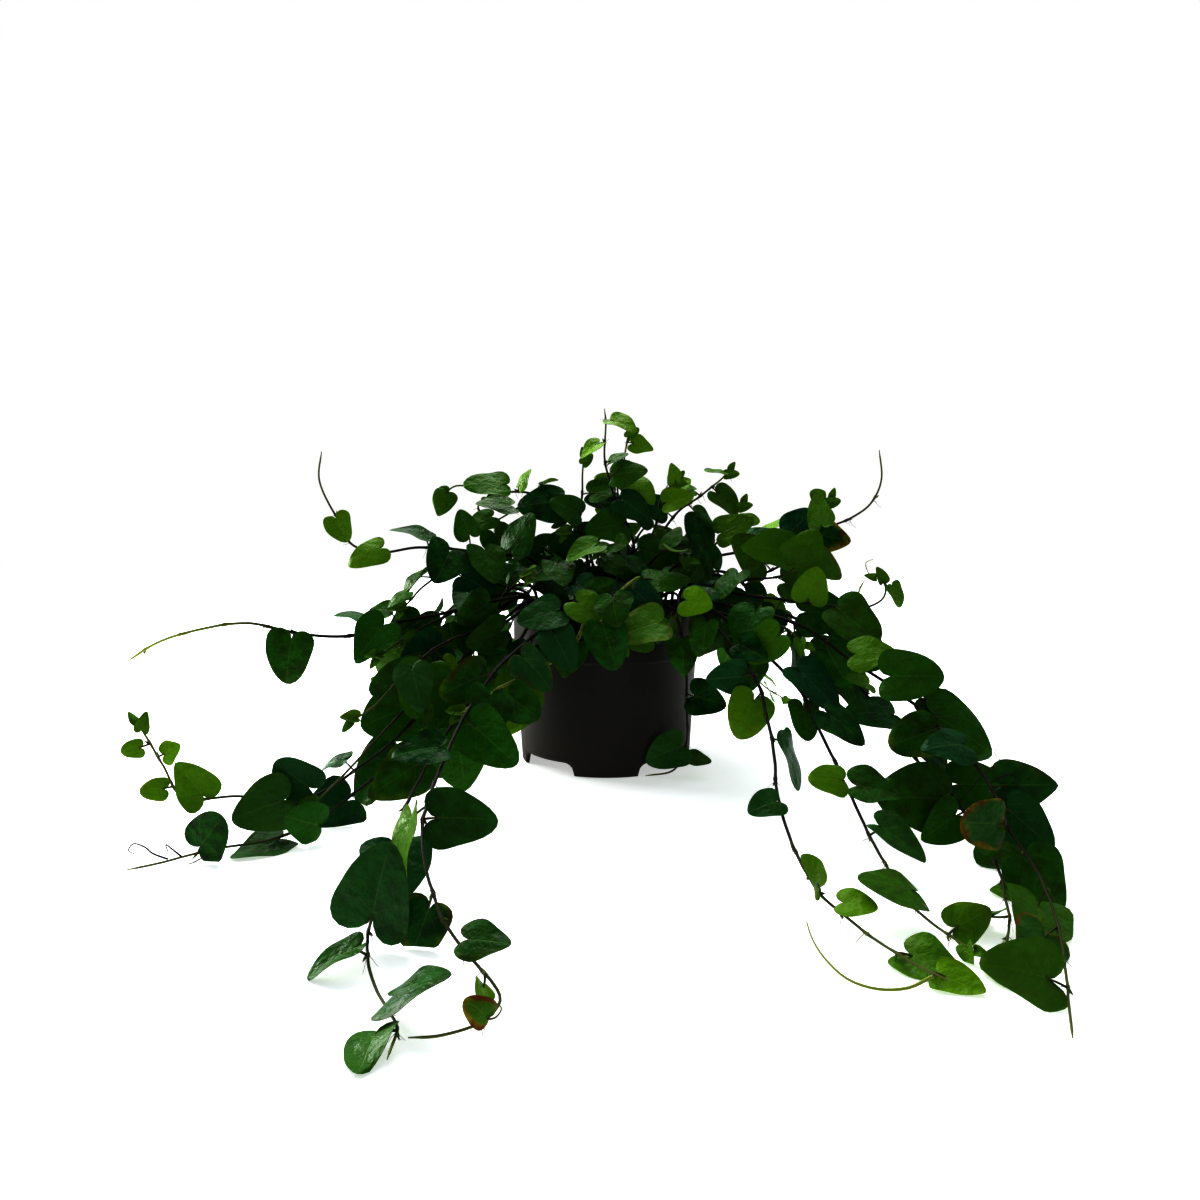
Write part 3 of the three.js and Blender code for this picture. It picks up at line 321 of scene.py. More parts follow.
# The stems that show, in millimetres as in the solid part. A row holds a stem's name, its root in
# the soil, the points it passes, and its leaves: how far along the stem each stands, its length,
# the way its tip points as seen from the front in degrees from +X, how far the blade is turned
# from facing the front to facing up, and its state where it isn't a common green one.
SHOWN_STEMS = [
    ("left_curl", (-40, 2),
     [(-51, -15, 139), (-76, -30, 144), (-120, -45, 149), (-145, -50, 146), (-162, -50, 151),
      (-170, -50, 165), (-182, -50, 192), (-180, -50, 210)],
     [(66, 26, 60, 40), (86, 26, -60, 30), (92, 25, 158, 15), (108, 30, -112, 10), (120, 22, 158, 78),
      (150, 22, 200, 40, YOUNG), (190, 16, -62, 10, YOUNG)]),
    ("left_whip", (-46, -20),
     [(-68, -55, 116), (-94, -70, 111), (-126, -85, 106), (-156, -95, 99), (-183, -100, 101),
      (-211, -105, 108), (-239, -110, 105), (-262, -112, 98), (-280, -115, 87)],
     [(64, 28, -110, 10), (84, 28, -70, 20), (104, 27, -150, 30), (120, 17, 160, 20), (128, 29, -135, 10),
      (134, 26, 168, 62), (182, 25, -98, 0)]),
    ("left_low_inner", (-50, -14),
     [(-75, -45, 105), (-94, -80, 75), (-111, -110, 54), (-134, -140, 35), (-167, -165, 19),
      (-195, -180, 26), (-221, -190, 29), (-228, -195, 47), (-238, -200, 71)],
     [(80, 26, -120, 20), (104, 26, -100, 20), (128, 28, -60, 30), (136, 36, -156, 30), (196, 20, 198, 45),
      (222, 24, 150, 12), (238, 29, 184, 30), (280, 21, 120, 25, YOUNG), (298, 12, 176, 20, YOUNG),
      (316, 11, 34, 15, YOUNG), (324, 10, 174, 20, YOUNG)]),
    ("left_low_outer", (-51, 0),
     [(-80, -30, 96), (-105, -70, 54), (-127, -120, 28), (-144, -150, 16), (-160, -173, 8), (-176, -191, 6),
      (-203, -203, 5), (-222, -219, 4), (-234, -228, 4)],
     [(70, 25, -130, 25), (98, 26, -70, 20), (122, 28, -120, 20), (146, 28, -60, 20), (168, 35, -142, 50),
      (214, 28, -140, 10), (246, 26, 168, 25), (262, 27, -142, 14), (306, 23, 52, 15)]),
    ("left_mid", (-43, -27),
     [(-71, -60, 99), (-92, -90, 80), (-115, -115, 62), (-140, -145, 36), (-159, -176, 18)],
     [(58, 26, -100, 25), (78, 28, -60, 30), (98, 28, -140, 20), (120, 31, 186, 24), (134, 14, 215, 40)]),
    ("front_left_long", (-28, -42),
     [(-38, -80, 103), (-61, -130, 87), (-75, -175, 69), (-82, -220, 52), (-81, -280, 40), (-71, -312, 24),
      (-58, -333, 14), (-44, -353, 10), (-40, -360, 6), (-46, -372, 4), (-59, -381, 4), (-69, -384, 5)],
     [(70, 28, -120, 20), (96, 28, -60, 25), (116, 28, -140, 20), (140, 27, -92, 10), (164, 29, -40, 10),
      (196, 22, 178, 55), (246, 29, -94, 62, YOUNG), (258, 25, 4, 30), (304, 27, -130, 30),
      (337, 17, 2, 62), (353, 11, -86, 60, YOUNG), (380, 11, 128, 30, WITHERED)]),
    ("front_left_outer", (-38, -38),
     [(-54, -75, 93), (-78, -135, 68), (-93, -185, 47), (-100, -230, 30), (-101, -270, 18), (-100, -302, 6),
      (-95, -328, 6), (-87, -349, 4), (-75, -374, 4), (-73, -399, 6)],
     [(64, 28, -130, 15), (92, 30, -80, 25), (120, 31, -140, 10), (150, 31, -70, 25), (182, 28, -150, 15),
      (244, 28, -84, 10), (308, 34, 76, 15), (330, 20, -158, 84), (374, 25, 38, 92), (388, 21, -100, 62)]),
    ("left_cluster_upper", (-51, 9),
     [(-72, -10, 121), (-98, -40, 133), (-113, -70, 127), (-125, -90, 113)],
     [(30, 20, -150, 20), (46, 28, 176, 55), (64, 29, -84, 15), (86, 28, -50, 50), (106, 25, -135, 70),
      (132, 14, -150, 60)]),
    ("left_cluster_lower", (-37, -31),
     [(-67, -60, 101), (-94, -100, 97), (-112, -130, 86), (-128, -150, 69), (-140, -160, 61)],
     [(62, 30, -135, 15), (104, 29, -150, 20), (118, 15, -86, 60, YOUNG), (128, 31, -100, 5),
      (144, 25, -75, 15)]),
    ("left_cluster_back", (-48, -7),
     [(-76, -35, 116), (-104, -70, 106), (-124, -95, 96), (-136, -110, 87)],
     [(50, 28, -130, 25), (72, 29, -60, 30), (94, 30, -120, 15), (116, 30, -70, 20), (128, 28, -128, 15)]),
    ("upper_left_near", (-24, 14),
     [(-12, 5, 158), (-32, 5, 166), (-55, 0, 174), (-72, 0, 166), (-84, -5, 160)],
     [(52, 25, -20, 40), (76, 26, 200, 30), (118, 22, 172, 62), (136, 18, 200, 40)]),
    ("upper_left_far", (-30, 4),
     [(-24, -5, 168), (-51, -5, 183), (-75, -8, 184), (-101, -10, 188), (-110, -10, 181)],
     [(36, 24, -120, 30), (58, 22, 62, 40), (84, 26, 184, 28), (102, 16, -10, 72, YOUNG),
      (112, 13, 60, 60, YOUNG), (122, 25, 172, 55), (162, 15, -112, 5)]),
    ("upper_left_side", (-38, 16),
     [(-53, 15, 154), (-77, 10, 159), (-88, 5, 174), (-80, 5, 179)],
     [(28, 24, 160, 40), (68, 18, 200, 40), (86, 22, -60, 5)]),
    ("top_tall", (8, -10),
     [(19, -10, 146), (10, -8, 171), (3, -5, 189), (-1, 0, 209), (0, 0, 231), (-1, 0, 240)],
     [(32, 24, -60, 30), (50, 25, -10, 25), (68, 24, 190, 25), (84, 22, -30, 25), (102, 22, 12, 35),
      (112, 13, 30, 70), (126, 15, 212, 58, YOUNG), (141, 18, -16, 60, YOUNG)]),
    ("top_left", (-12, -2),
     [(-18, -5, 165), (-16, 0, 182), (-16, 0, 195), (-15, 0, 208)],
     [(30, 24, 200, 30), (50, 23, 160, 40), (70, 22, 150, 45), (86, 19, 16, 60)]),
    ("top_mid", (16, 8),
     [(13, 5, 171), (12, 5, 199), (14, 5, 216), (16, 5, 226)],
     [(78, 22, 170, 40), (95, 24, -30, 32, YOUNG), (120, 14, -14, 28, YOUNG)]),
    ("top_young", (4, 12),
     [(11, 12, 150), (9, 12, 175), (8, 12, 192), (10, 12, 204)],
     [(56, 16, 30, 30), (70, 14, 150, 40), (81, 12, 20, 40), (92, 13, 150, 30)]),
    ("top_yellow", (24, 2),
     [(34, 0, 161), (39, 0, 182), (50, 0, 193)],
     [(52, 24, 20, 40), (68, 20, 160, 30), (80, 19, 10, 35, YOUNG), (90, 18, -8, 30, YOUNG),
      (98, 12, 100, 30, YOUNG)]),
    ("top_right", (30, 10),
     [(48, 10, 168), (64, 10, 180), (78, 10, 191), (86, 10, 199)],
     [(54, 24, 10, 40), (72, 22, 152, 30), (86, 22, -14, 35), (96, 15, 152, 75), (106, 20, -42, 40),
      (119, 13, 174, 78)]),
    ("top_far_right", (36, -4),
     [(75, 0, 148), (86, 0, 166), (94, 0, 177)],
     [(52, 21, 10, 45), (64, 24, 118, 40), (78, 22, 30, 40, YOUNG), (92, 14, 20, 40, YOUNG)]),
    ("right_upper_near", (50, 2),
     [(64, -5, 127), (95, -30, 128), (118, -45, 141), (131, -50, 157), (137, -50, 172), (143, -50, 181)],
     [(30, 26, -60, 20), (48, 26, 120, 40), (70, 26, -80, 30), (92, 30, 150, 25, YOUNG),
      (112, 30, 168, 28, YOUNG), (136, 19, 105, 25), (150, 12, 150, 30, YOUNG)]),
    ("right_tendril", (46, 14),
     [(70, 15, 136), (107, 10, 145), (143, 0, 157), (166, -10, 167), (179, -10, 177), (185, -10, 192),
      (183, -10, 212)],
     [(34, 26, 80, 50), (52, 25, 160, 55), (74, 25, 30, 50), (96, 24, 96, 25, YOUNG), (110, 24, 40, 55),
      (124, 27, -10, 14, WITHERED)]),
    ("right_upper_far", (53, -5),
     [(66, -25, 121), (90, -45, 128), (113, -60, 133), (129, -62, 150)],
     [(34, 24, 50, 40), (50, 28, -60, 25), (70, 27, -100, 30), (92, 27, -40, 20), (106, 24, 60, 20),
      (118, 20, -34, 40)]),
    ("right_mid", (50, -17),
     [(67, -45, 120), (98, -75, 120), (128, -95, 118), (151, -105, 117), (163, -105, 123), (164, -105, 131),
      (158, -105, 135)],
     [(38, 25, -60, 25), (84, 20, -36, 55, YOUNG), (100, 24, -110, 25), (118, 20, 82, 8, YOUNG),
      (134, 32, -60, 28), (146, 15, 20, 60, YOUNG), (171, 13, -62, 40)]),
    ("right_long_inner", (34, -40),
     [(57, -80, 112), (75, -110, 94), (85, -132, 79), (88, -152, 63), (88, -180, 46), (86, -205, 32),
      (89, -238, 17), (94, -274, 10), (105, -299, 6), (116, -325, 5), (127, -345, 6)],
     [(44, 24, -60, 25), (72, 16, -110, 30), (98, 18, -25, 30), (120, 21, 165, 10),
      (134, 23, -116, 8, YOUNG), (168, 29, -82, 60), (217, 15, 186, 50), (284, 16, 108, 60, YOUNG),
      (300, 15, 6, 70, YOUNG), (336, 26, -44, 12, YOUNG), (356, 16, -20, 20, YOUNG)]),
    ("right_long_mid", (40, -34),
     [(67, -75, 111), (88, -102, 95), (109, -135, 74), (116, -165, 55), (122, -195, 37), (127, -220, 22),
      (130, -251, 12), (133, -277, 7), (139, -299, 5), (146, -319, 5)],
     [(58, 24, -100, 20), (82, 22, -60, 20), (104, 20, -120, 15), (130, 29, -42, 52), (148, 20, -84, 30),
      (166, 26, -52, 40), (215, 19, 178, 50, YOUNG), (220, 22, -4, 60), (248, 25, -28, 66),
      (304, 27, 160, 72), (330, 16, 40, 40)]),
    ("right_long_upper", (51, -11),
     [(81, -35, 115), (120, -75, 105), (142, -105, 80), (161, -135, 54), (170, -158, 39), (182, -185, 26),
      (189, -212, 12), (186, -240, 6), (178, -268, 5), (170, -292, 6), (158, -318, 6), (146, -330, 6)],
     [(40, 26, -120, 20), (62, 26, -60, 20), (84, 24, -130, 15), (106, 30, -8, 20), (128, 36, -24, 20),
      (150, 22, -64, 20), (170, 18, 176, 58, YOUNG), (194, 27, 166, 62), (208, 26, -28, 55),
      (256, 36, 173, 30), (248, 27, 10, 25), (266, 22, -154, 15), (284, 26, -34, 15), (304, 24, 66, 20),
      (322, 23, -50, 8, YOUNG), (366, 27, 152, 8), (408, 25, -62, 15)]),
    ("right_heavy", (46, -22),
     [(75, -65, 114), (114, -105, 107), (138, -130, 91), (162, -160, 75), (177, -190, 60), (187, -220, 44),
      (186, -252, 30), (189, -278, 19), (182, -315, 8), (166, -358, 5), (156, -384, 5)],
     [(46, 28, -110, 20), (68, 30, -50, 20), (92, 30, -110, 15), (114, 30, -30, 20), (138, 27, -70, 15),
      (160, 22, 12, 50, YOUNG), (184, 27, 8, 25), (198, 22, -12, 60), (212, 36, -28, 30),
      (226, 22, 196, 20), (246, 22, 172, 58), (272, 25, 6, 25), (284, 24, -42, 8),
      (300, 22, 170, 15, WITHERED), (316, 25, -60, 5), (340, 29, -112, 5, YOUNG),
      (364, 27, 198, 20, WITHERED), (410, 27, 164, 35)]),
    ("right_short_low", (44, -28),
     [(72, -68, 109), (88, -92, 108), (104, -108, 106), (115, -120, 97)],
     [(58, 28, 198, 22), (80, 26, -60, 30), (100, 22, 20, 40), (114, 27, -132, 8)]),
    ("front_right_drop", (28, -46),
     [(41, -72, 112), (50, -60, 83), (52, -54, 49), (52, -50, 19), (44, -58, 6), (25, -69, 5)],
     [(24, 22, -110, 20), (42, 22, -50, 20), (60, 22, -72, 5), (104, 21, -12, 18), (141, 23, 200, 25),
      (146, 14, -8, 60)]),
    ("front_pale", (12, -46),
     [(21, -62, 131), (9, -80, 125), (-1, -92, 111), (-8, -96, 100)],
     [(38, 27, -20, 50), (58, 24, -50, 25), (76, 24, -110, 20), (92, 26, -72, 5)]),
    ("front_left_pale", (-12, -50),
     [(-13, -80, 108), (-22, -95, 90), (-45, -118, 81), (-66, -142, 73), (-82, -162, 65)],
     [(36, 22, -60, 30), (56, 24, -100, 20), (74, 13, 70, 40, YOUNG), (106, 36, -150, 4, YOUNG),
      (126, 24, -60, 30)]),
    ("front_mid", (0, -54),
     [(-17, -76, 119), (-29, -89, 107), (-38, -100, 90), (-42, -103, 76)],
     [(26, 24, -80, 20), (36, 17, 40, 5), (48, 23, -35, 45, YOUNG), (60, 24, 195, 45), (74, 24, -60, 20)]),
    ("front_right", (28, -34),
     [(44, -70, 121), (41, -87, 107), (28, -95, 99)],
     [(30, 24, -100, 25), (62, 23, -42, 52, YOUNG), (86, 26, 192, 48)]),
]

# The short upright stems that fill the crown by golden angle, the short ones that hang over the
# rim all round, and the ones behind, spread over the half turn that the front stems leave.
CROWN = {"count": 9, "turn": 137.5, "start": 215, "root": (9, 34), "reach": (34, 84), "rise": (66, 42),
         "leaf": 25, "gap": 14, "first": 26}
SKIRT = {"count": 6, "start": -35, "root": 40, "leaf": 25, "gap": 14, "first": 26}
BEHIND = {"count": 8, "from": 12, "to": 160, "root": 50, "reach": (205, 150, 245), "end": (30, 62, 4),
          "leaf": 29, "gap": 31, "first": 40}


def chance(a, b, c):
    """A repeatable random number from 0 to 1 for three whole numbers, by mixing their bits."""
    h = ((a + 1) * 374761393 + (b + 1) * 668265263 + (c + 1) * 2147483647) & 0xFFFFFFFF
    h = ((h ^ (h >> 13)) * 1274126177) & 0xFFFFFFFF
    h = ((h ^ (h >> 16)) * 2246822519) & 0xFFFFFFFF
    return (h ^ (h >> 15)) / 4294967296


def mix(a, b, t):
    """The value a share t of the way from a to b."""
    return a + (b - a) * t


def at(radius, angle, *height):
    """A point at a radius and an angle round the pot's axis: radius cos a, radius sin a, height."""
    return (radius * math.cos(angle), radius * math.sin(angle), *height)


def ruled_leaves(index, rule, length):
    """Leaves at even distances, larger near the soil, each with its place and its length."""
    leaves = []
    station = rule["first"]
    while station < length - 3:
        i = len(leaves)
        size = rule["leaf"] * mix(1.08, 0.7, station / length) * mix(0.88, 1.12, chance(index, i, 7))
        leaves.append((station + (chance(index, i, 0) - 0.5) * 0.3 * rule["gap"], size))
        station += rule["gap"]
    return leaves


def crown_stem(i):
    """The row of a crown stem: a golden angle from the last, farther out and lower."""
    t = i / (CROWN["count"] - 1)
    angle = (CROWN["start"] + CROWN["turn"] * i) * DEGREE
    reach = mix(*CROWN["reach"], t)
    rise = STEM_START + mix(*CROWN["rise"], t) * mix(0.9, 1.1, chance(i, 5, 1))
    through = [at(reach * 0.72, angle, rise), at(reach, angle, rise - 6)]
    return f"crown_{i + 1}", at(mix(*CROWN["root"], t), angle), through, CROWN


def skirt_stem(i):
    """The row of a stem that leans over the rim, an even share of the turn from the last."""
    angle = (SKIRT["start"] + 360 / SKIRT["count"] * i) * DEGREE
    low = mix(74, 96, chance(i, 4, 1))
    through = [at(66, angle + 0.1, 124), at(84, angle + 0.18, 114), at(94, angle + 0.2, low)]
    return f"skirt_{i + 1}", at(SKIRT["root"], angle), through, SKIRT


def behind_stem(i):
    """The row of a stem behind: it bends aside on its way out and down to its reach and end."""
    angle = mix(BEHIND["from"], BEHIND["to"], i / (BEHIND["count"] - 1)) * DEGREE
    reach = BEHIND["reach"][i % 3] * mix(0.92, 1.08, chance(i, 6, 1))
    end = BEHIND["end"][i % 3]
    bend = mix(-0.22, 0.22, chance(i, 6, 2))
    through = [at(82, angle, 128), at(mix(82, reach, 0.45), angle + bend * 0.3, mix(122, end, 0.35)),
               at(mix(82, reach, 0.8), angle + bend * 0.7, mix(110, end, 0.82)),
               at(reach, angle + bend, end)]
    return f"behind_{i + 1}", at(BEHIND["root"], angle), through, BEHIND


def smooth_line(points):
    """A centripetal Catmull-Rom curve: each stretch is a cubic that passes its two points with
    slopes weighted by the square roots of the distances around them. Takes t from 0 to 1."""
    p = np.array(points, float)
    p = np.vstack([2 * p[0] - p[1], p, 2 * p[-1] - p[-2]])
    gap = (np.diff(p, axis=0) ** 2).sum(1)[:, None] ** 0.25
    g0, g1, g2 = gap[:-2], gap[1:-1], gap[2:]
    p0, p1, p2, p3 = p[:-3], p[1:-2], p[2:-1], p[3:]
    slope1 = ((p1 - p0) / g0 - (p2 - p0) / (g0 + g1) + (p2 - p1) / g1) * g1
    slope2 = ((p2 - p1) / g1 - (p3 - p1) / (g1 + g2) + (p3 - p2) / g2) * g1

    def line(t):
        """The points at shares t of the way: p + slope w + bend w^2 + twist w^3, w along a stretch."""
        place = np.clip(t, 0, 1) * len(p1)
        i = np.minimum(place.astype(int), len(p1) - 1)
        w = (place - i)[..., None]
        bend = -3 * p1[i] + 3 * p2[i] - 2 * slope1[i] - slope2[i]
        twist = 2 * p1[i] - 2 * p2[i] + slope1[i] + slope2[i]
        return p1[i] + slope1[i] * w + bend * w ** 2 + twist * w ** 3

    return line


def grown_stem(index, name, root, through, third):
    """A stem's line straight up out of its hole and over its points, its length, and its leaves."""
    start = np.array([*root, STEM_START], float)
    rise = start + (np.array(through[0], float) - start) * 0.15
    rise[2] = max(POT_HEIGHT + 8, mix(start[2], through[0][2], 0.6))
    line = smooth_line([start, rise, *through])
    steps = line(np.arange(CURVE_STEPS + 1) / CURVE_STEPS)
    run = np.concatenate([[0], np.cumsum(np.linalg.norm(np.diff(steps, axis=0), axis=1))])
    ruled = isinstance(third, dict)
    leaves = ruled_leaves(index, third, run[-1]) if ruled else third
    return {"index": index, "name": name, "root": root, "line": line, "run": run, "length": run[-1],
            "ruled": ruled, "leaves": leaves, "grown": []}


def share_at(stem, distance):
    """The curve's own t at distances along the stem, between the steps that it was measured in."""
    return np.interp(distance, stem["run"], np.arange(CURVE_STEPS + 1) / CURVE_STEPS)


def place_at(stem, distance):
    """Points of the stem at distances along it."""
    return stem["line"](share_at(stem, distance))


def way_at(stem, distance):
    """The stem's direction: the step between two points just before and after."""
    t = share_at(stem, distance)
    return unit(stem["line"](np.clip(t + 0.0001, 0, 1)) - stem["line"](np.clip(t - 0.0001, 0, 1)))


rows = SHOWN_STEMS + [crown_stem(i) for i in range(CROWN["count"])]
rows += [skirt_stem(i) for i in range(SKIRT["count"])] + [behind_stem(i) for i in range(BEHIND["count"])]
stems = [grown_stem(index, *row) for index, row in enumerate(rows)]

# Every leaf stands on a petiole of about a fifth of its length. Its place and turn are worked out
# as for the solid part: it is tried at its joint, and tried again a little turned and smaller
# until it is clear of the pot, the stems and the leaves before it.
PETIOLE_LENGTH = 2.5
PETIOLE_SHARE = 0.2
PETIOLE_RISE = 1.4
PETIOLE_RISE_END = 2.2
PETIOLE_HALF_WIDTH = 0.6
PETIOLE_ALONG_STEM = 0.85
LEAF_TRIES = 40
TRY_TURN = 4
TRY_SHRINK = 0.01
TRY_REACH = 0.2
BLADE_GAP = 1.3
STICK_GAP = 1.2
OWN_STEM_GAP = 1.5
GROUND_GAP = 1.1
POT_GAP = 1.5
BESIDE_POT_GAP = 1.6
BLADE_REACH = 1.2
STICK_REACH = 6
BASE_LIFT = 2.5
STEP_ALONG_STEM = 2
# A blade's place and its three ways, and its sizes, its fold along the midrib and its arch.
BLADE_KEYS = ("base", "along", "across", "normal", "length", "breadth", "fold", "arch")
# Where a blade is tested: at angles from its tip, and at shares of its outline's radius.
SAMPLE_ANGLES = [0, 0] + [a * s for a in (35, 75, 115) for s in (-1, -1, 1, 1)] + [-148, 148]
SAMPLE_SHARES = [1, 0.7] + [1, 0.55] * 6 + [1, 1]


def outline_radius(angle):
    """A leaf's edge as a distance from the petiole, for length 1, at an angle from the tip:
    (0.52 + 0.48 e^(-2 angle)) (1 - 0.9 back^1.7), where back goes from 0 at 100 degrees to 1
    at 180. That gives a pointed tip, a broad middle and two lobes that meet in a notch."""
    back = np.maximum(0, (angle - 100 * DEGREE) / (80 * DEGREE))
    return (0.52 + 0.48 * np.exp(-2 * angle)) * (1 - 0.9 * back ** 1.7)


def blade_height(leaf, x, y):
    """Height over the leaf's own plane: fold (hypot(x, 1.5) - 1.5) - arch length (y / length)^2."""
    fold, arch, length = (np.asarray(leaf[key])[..., None] for key in ("fold", "arch", "length"))
    return fold * (np.hypot(x, 1.5) - 1.5) - arch * length * np.maximum(0, y / length) ** 2


def blade_points(leaf, x, y):
    """Points of the blade's middle surface for places across and along it, kept off the ground."""
    base, along, across, normal = (leaf[key][..., None, :] for key in BLADE_KEYS[:4])
    points = base + x[..., None] * across + y[..., None] * along
    points = points + blade_height(leaf, x, y)[..., None] * normal
    points[..., 2] = np.maximum(points[..., 2], GROUND_GAP)
    return points


def blade_samples(leaf):
    """Seventeen points that stand for a blade when its clearance is tested."""
    angle = np.array(SAMPLE_ANGLES) * DEGREE
    radius = outline_radius(np.abs(angle)) * leaf["length"] * np.array(SAMPLE_SHARES)
    x = np.concatenate([[0], radius * np.sin(angle) * leaf["breadth"]])
    y = np.concatenate([[leaf["length"] * 0.35], radius * np.cos(angle)])
    return blade_points(leaf, x, y)


def aimed(stem, number, attempt, aim, tangent, draw):
    """Direction, facing and petiole of a leaf whose direction the stem's row gives: its tip points
    at the row's angle and a little to the front, and its face turns from the front to the top."""
    clock, roll = aim[:2]
    stray = attempt * TRY_TURN * DEGREE
    angle = clock * DEGREE + draw(1) * stray
    forward = (8 + 20 * chance(stem["index"], number, 6)) * DEGREE + draw(2) * stray
    along = np.array([math.cos(angle) * math.cos(forward), -math.sin(forward),
                      math.sin(angle) * math.cos(forward)])
    facing = unit(FRONT - along * (FRONT @ along))
    lift = np.cross(along, facing)
    lift = -lift if lift[2] < 0 else lift
    turned_by = roll * DEGREE + draw(3) * stray
    normal = facing * math.cos(turned_by) + lift * math.sin(turned_by)
    rise = PETIOLE_RISE * max(0, 1 - PETIOLE_RISE_END * abs(tangent @ normal))
    return along, normal, unit(along + normal * rise)


def lit(number, attempt, spot, tangent, draw):
    """Direction, facing and petiole of a leaf that only turns to the light, up and outwards."""
    spread = 1 + attempt * 0.15
    outward = unit(np.array([spot[0], spot[1], 0]))
    lean = mix(0.62, 0.3, min(1, max(0, (spot[2] - 60) / 110)))
    light = unit(UP * (1 - lean) + outward * lean)
    side = unit(np.cross(tangent, light)) * (-1 if number % 2 == 0 else 1)
    normal = unit(light + side * draw(1) * 0.8 * spread + tangent * draw(2) * 0.7 * spread)
    along = side + tangent * (0.35 + draw(3) * 0.7 * spread)
    along = along + UP * (-0.9 * lean + draw(4) * 0.3 * spread) + outward * 0.2
    along = unit(along - normal * (along @ normal))
    return along, normal, unit(side * 0.75 + light * 0.55 + along * 0.35)


def try_leaf(stem, number, attempt, spot, tangent):
    """One try at a leaf. A blade that would reach under the ground is turned up to lie on it."""
    def draw(k):
        """This try's kth random number, from -0.5 to 0.5."""
        return chance(stem["index"] * 64 + number, attempt, k) - 0.5

    station, full, *aim = stem["leaves"][number]
    length = full * (1 - attempt * TRY_SHRINK)
    breadth = mix(0.9, 1.1, chance(stem["index"], number, 8))
    if aim:
        along, normal, stalk = aimed(stem, number, attempt, aim, tangent, draw)
    else:
        along, normal, stalk = lit(number, attempt, spot, tangent, draw)
    stalk = unit(stalk + tangent * (-0.6 * (stalk @ tangent)))
    base = spot + stalk * (PETIOLE_LENGTH + length * PETIOLE_SHARE + attempt * TRY_REACH)
    base[2] = max(base[2], GROUND_GAP + BASE_LIFT)
    room = base[2] - GROUND_GAP
    buried = max(0, -room / length - along[2])
    along = unit(along + np.array([0, -buried * 1.5, buried]))
    across = unit(np.cross(along, normal))
    most = room / (0.55 * length * breadth)
    across[2] = min(most, max(-most, across[2]))
    across = unit(across - along * (across @ along))
    return {"stem": stem["index"], "number": number, "station": station, "spot": spot, "base": base,
            "along": along, "across": across, "normal": np.cross(across, along), "tangent": tangent,
            "length": length, "breadth": breadth, "state": aim[2] if aim[2:] else 0,
            "fold": mix(-0.16, 0.3, chance(stem["index"], number, 9)),
            "arch": mix(0.04, 0.3, chance(stem["index"], number, 10))}


def height_over(leaf, points, margin):
    """Signed height of points over a blade, or nothing where they lie beyond its edge. Takes one
    leaf and many points, or as many leaves as there are rows of points."""
    offset = points - leaf["base"][..., None, :]
    x, y, z = ((offset * leaf[key][..., None, :]).sum(-1) for key in ("across", "along", "normal"))
    wide = x / np.asarray(leaf["breadth"])[..., None]
    edge = outline_radius(np.abs(np.arctan2(wide, y))) * np.asarray(leaf["length"])[..., None]
    return np.where(np.hypot(wide, y) > edge + margin, np.nan, z - blade_height(leaf, x, y))


def meets(leaf, points, gap):
    """True if any set of points touches the blade or lies on both sides of it."""
    height = height_over(leaf, points, gap)
    both = (height > 0).any(-1) & (height <= 0).any(-1)
    return bool(((np.abs(height) < gap).any(-1) | both).any())


def in_pot(points):
    """True if any point is in the pot, its wall or the soil, with a margin."""
    x, y, z = points.T
    r = np.hypot(x, y)
    wall = mix(POT_BASE_RADIUS, POT_RIM_RADIUS, np.clip(z / (POT_HEIGHT - POT_BAND_HEIGHT), 0, 1))
    rim = POT_RIM_RADIUS - POT_WALL - POT_GAP
    over_soil = (r < rim) & (z >= SOIL_TOP + SOIL_CROWN + POT_GAP)
    outside = (r >= rim) & (r >= wall + BESIDE_POT_GAP)
    return bool((~((z > POT_HEIGHT + POT_GAP) | over_soil | outside)).any())


def is_clear(leaf, placed, sticks):
    """True if a leaf's petiole leaves its stem at an angle, and its blade and petiole keep their
    gaps from the pot, the blades placed, and the stems and petioles, which are rows of points.
    The leaf gets the points that stand for its blade and its petiole."""
    if abs(unit(leaf["base"] - leaf["spot"]) @ leaf["tangent"]) > PETIOLE_ALONG_STEM:
        return False
    leaf["samples"] = blade_samples(leaf)
    share = np.array([0.3, 0.5, 0.7, 0.9])[:, None]
    leaf["stalk"] = leaf["spot"] + (leaf["base"] - leaf["spot"]) * share
    if in_pot(leaf["samples"]) or in_pot(leaf["stalk"][1:]):
        return False
    reach = leaf["length"] * BLADE_REACH
    apart = np.linalg.norm(placed["base"] - leaf["base"], axis=1)
    near = apart <= reach + placed["length"] * BLADE_REACH
    others = {key: values[near] for key, values in placed.items()}
    if (meets(others, leaf["samples"], BLADE_GAP) or meets(others, leaf["stalk"], STICK_GAP)
            or meets(leaf, others["samples"], BLADE_GAP)):
        return False
    near = np.linalg.norm(sticks["point"] - leaf["base"], axis=1) <= reach + STICK_REACH
    point, radius, owner = (sticks[key][near] for key in ("point", "radius", "stem"))
    own = owner == leaf["stem"]
    gap = np.where(own, OWN_STEM_GAP, STICK_GAP)
    if (np.abs(height_over(leaf, point, gap)) < gap + radius).any():
        return False
    apart = np.linalg.norm(leaf["stalk"][:, None] - point[~own], axis=-1)
    return not (apart < radius[~own] + STICK_GAP + PETIOLE_HALF_WIDTH).any()


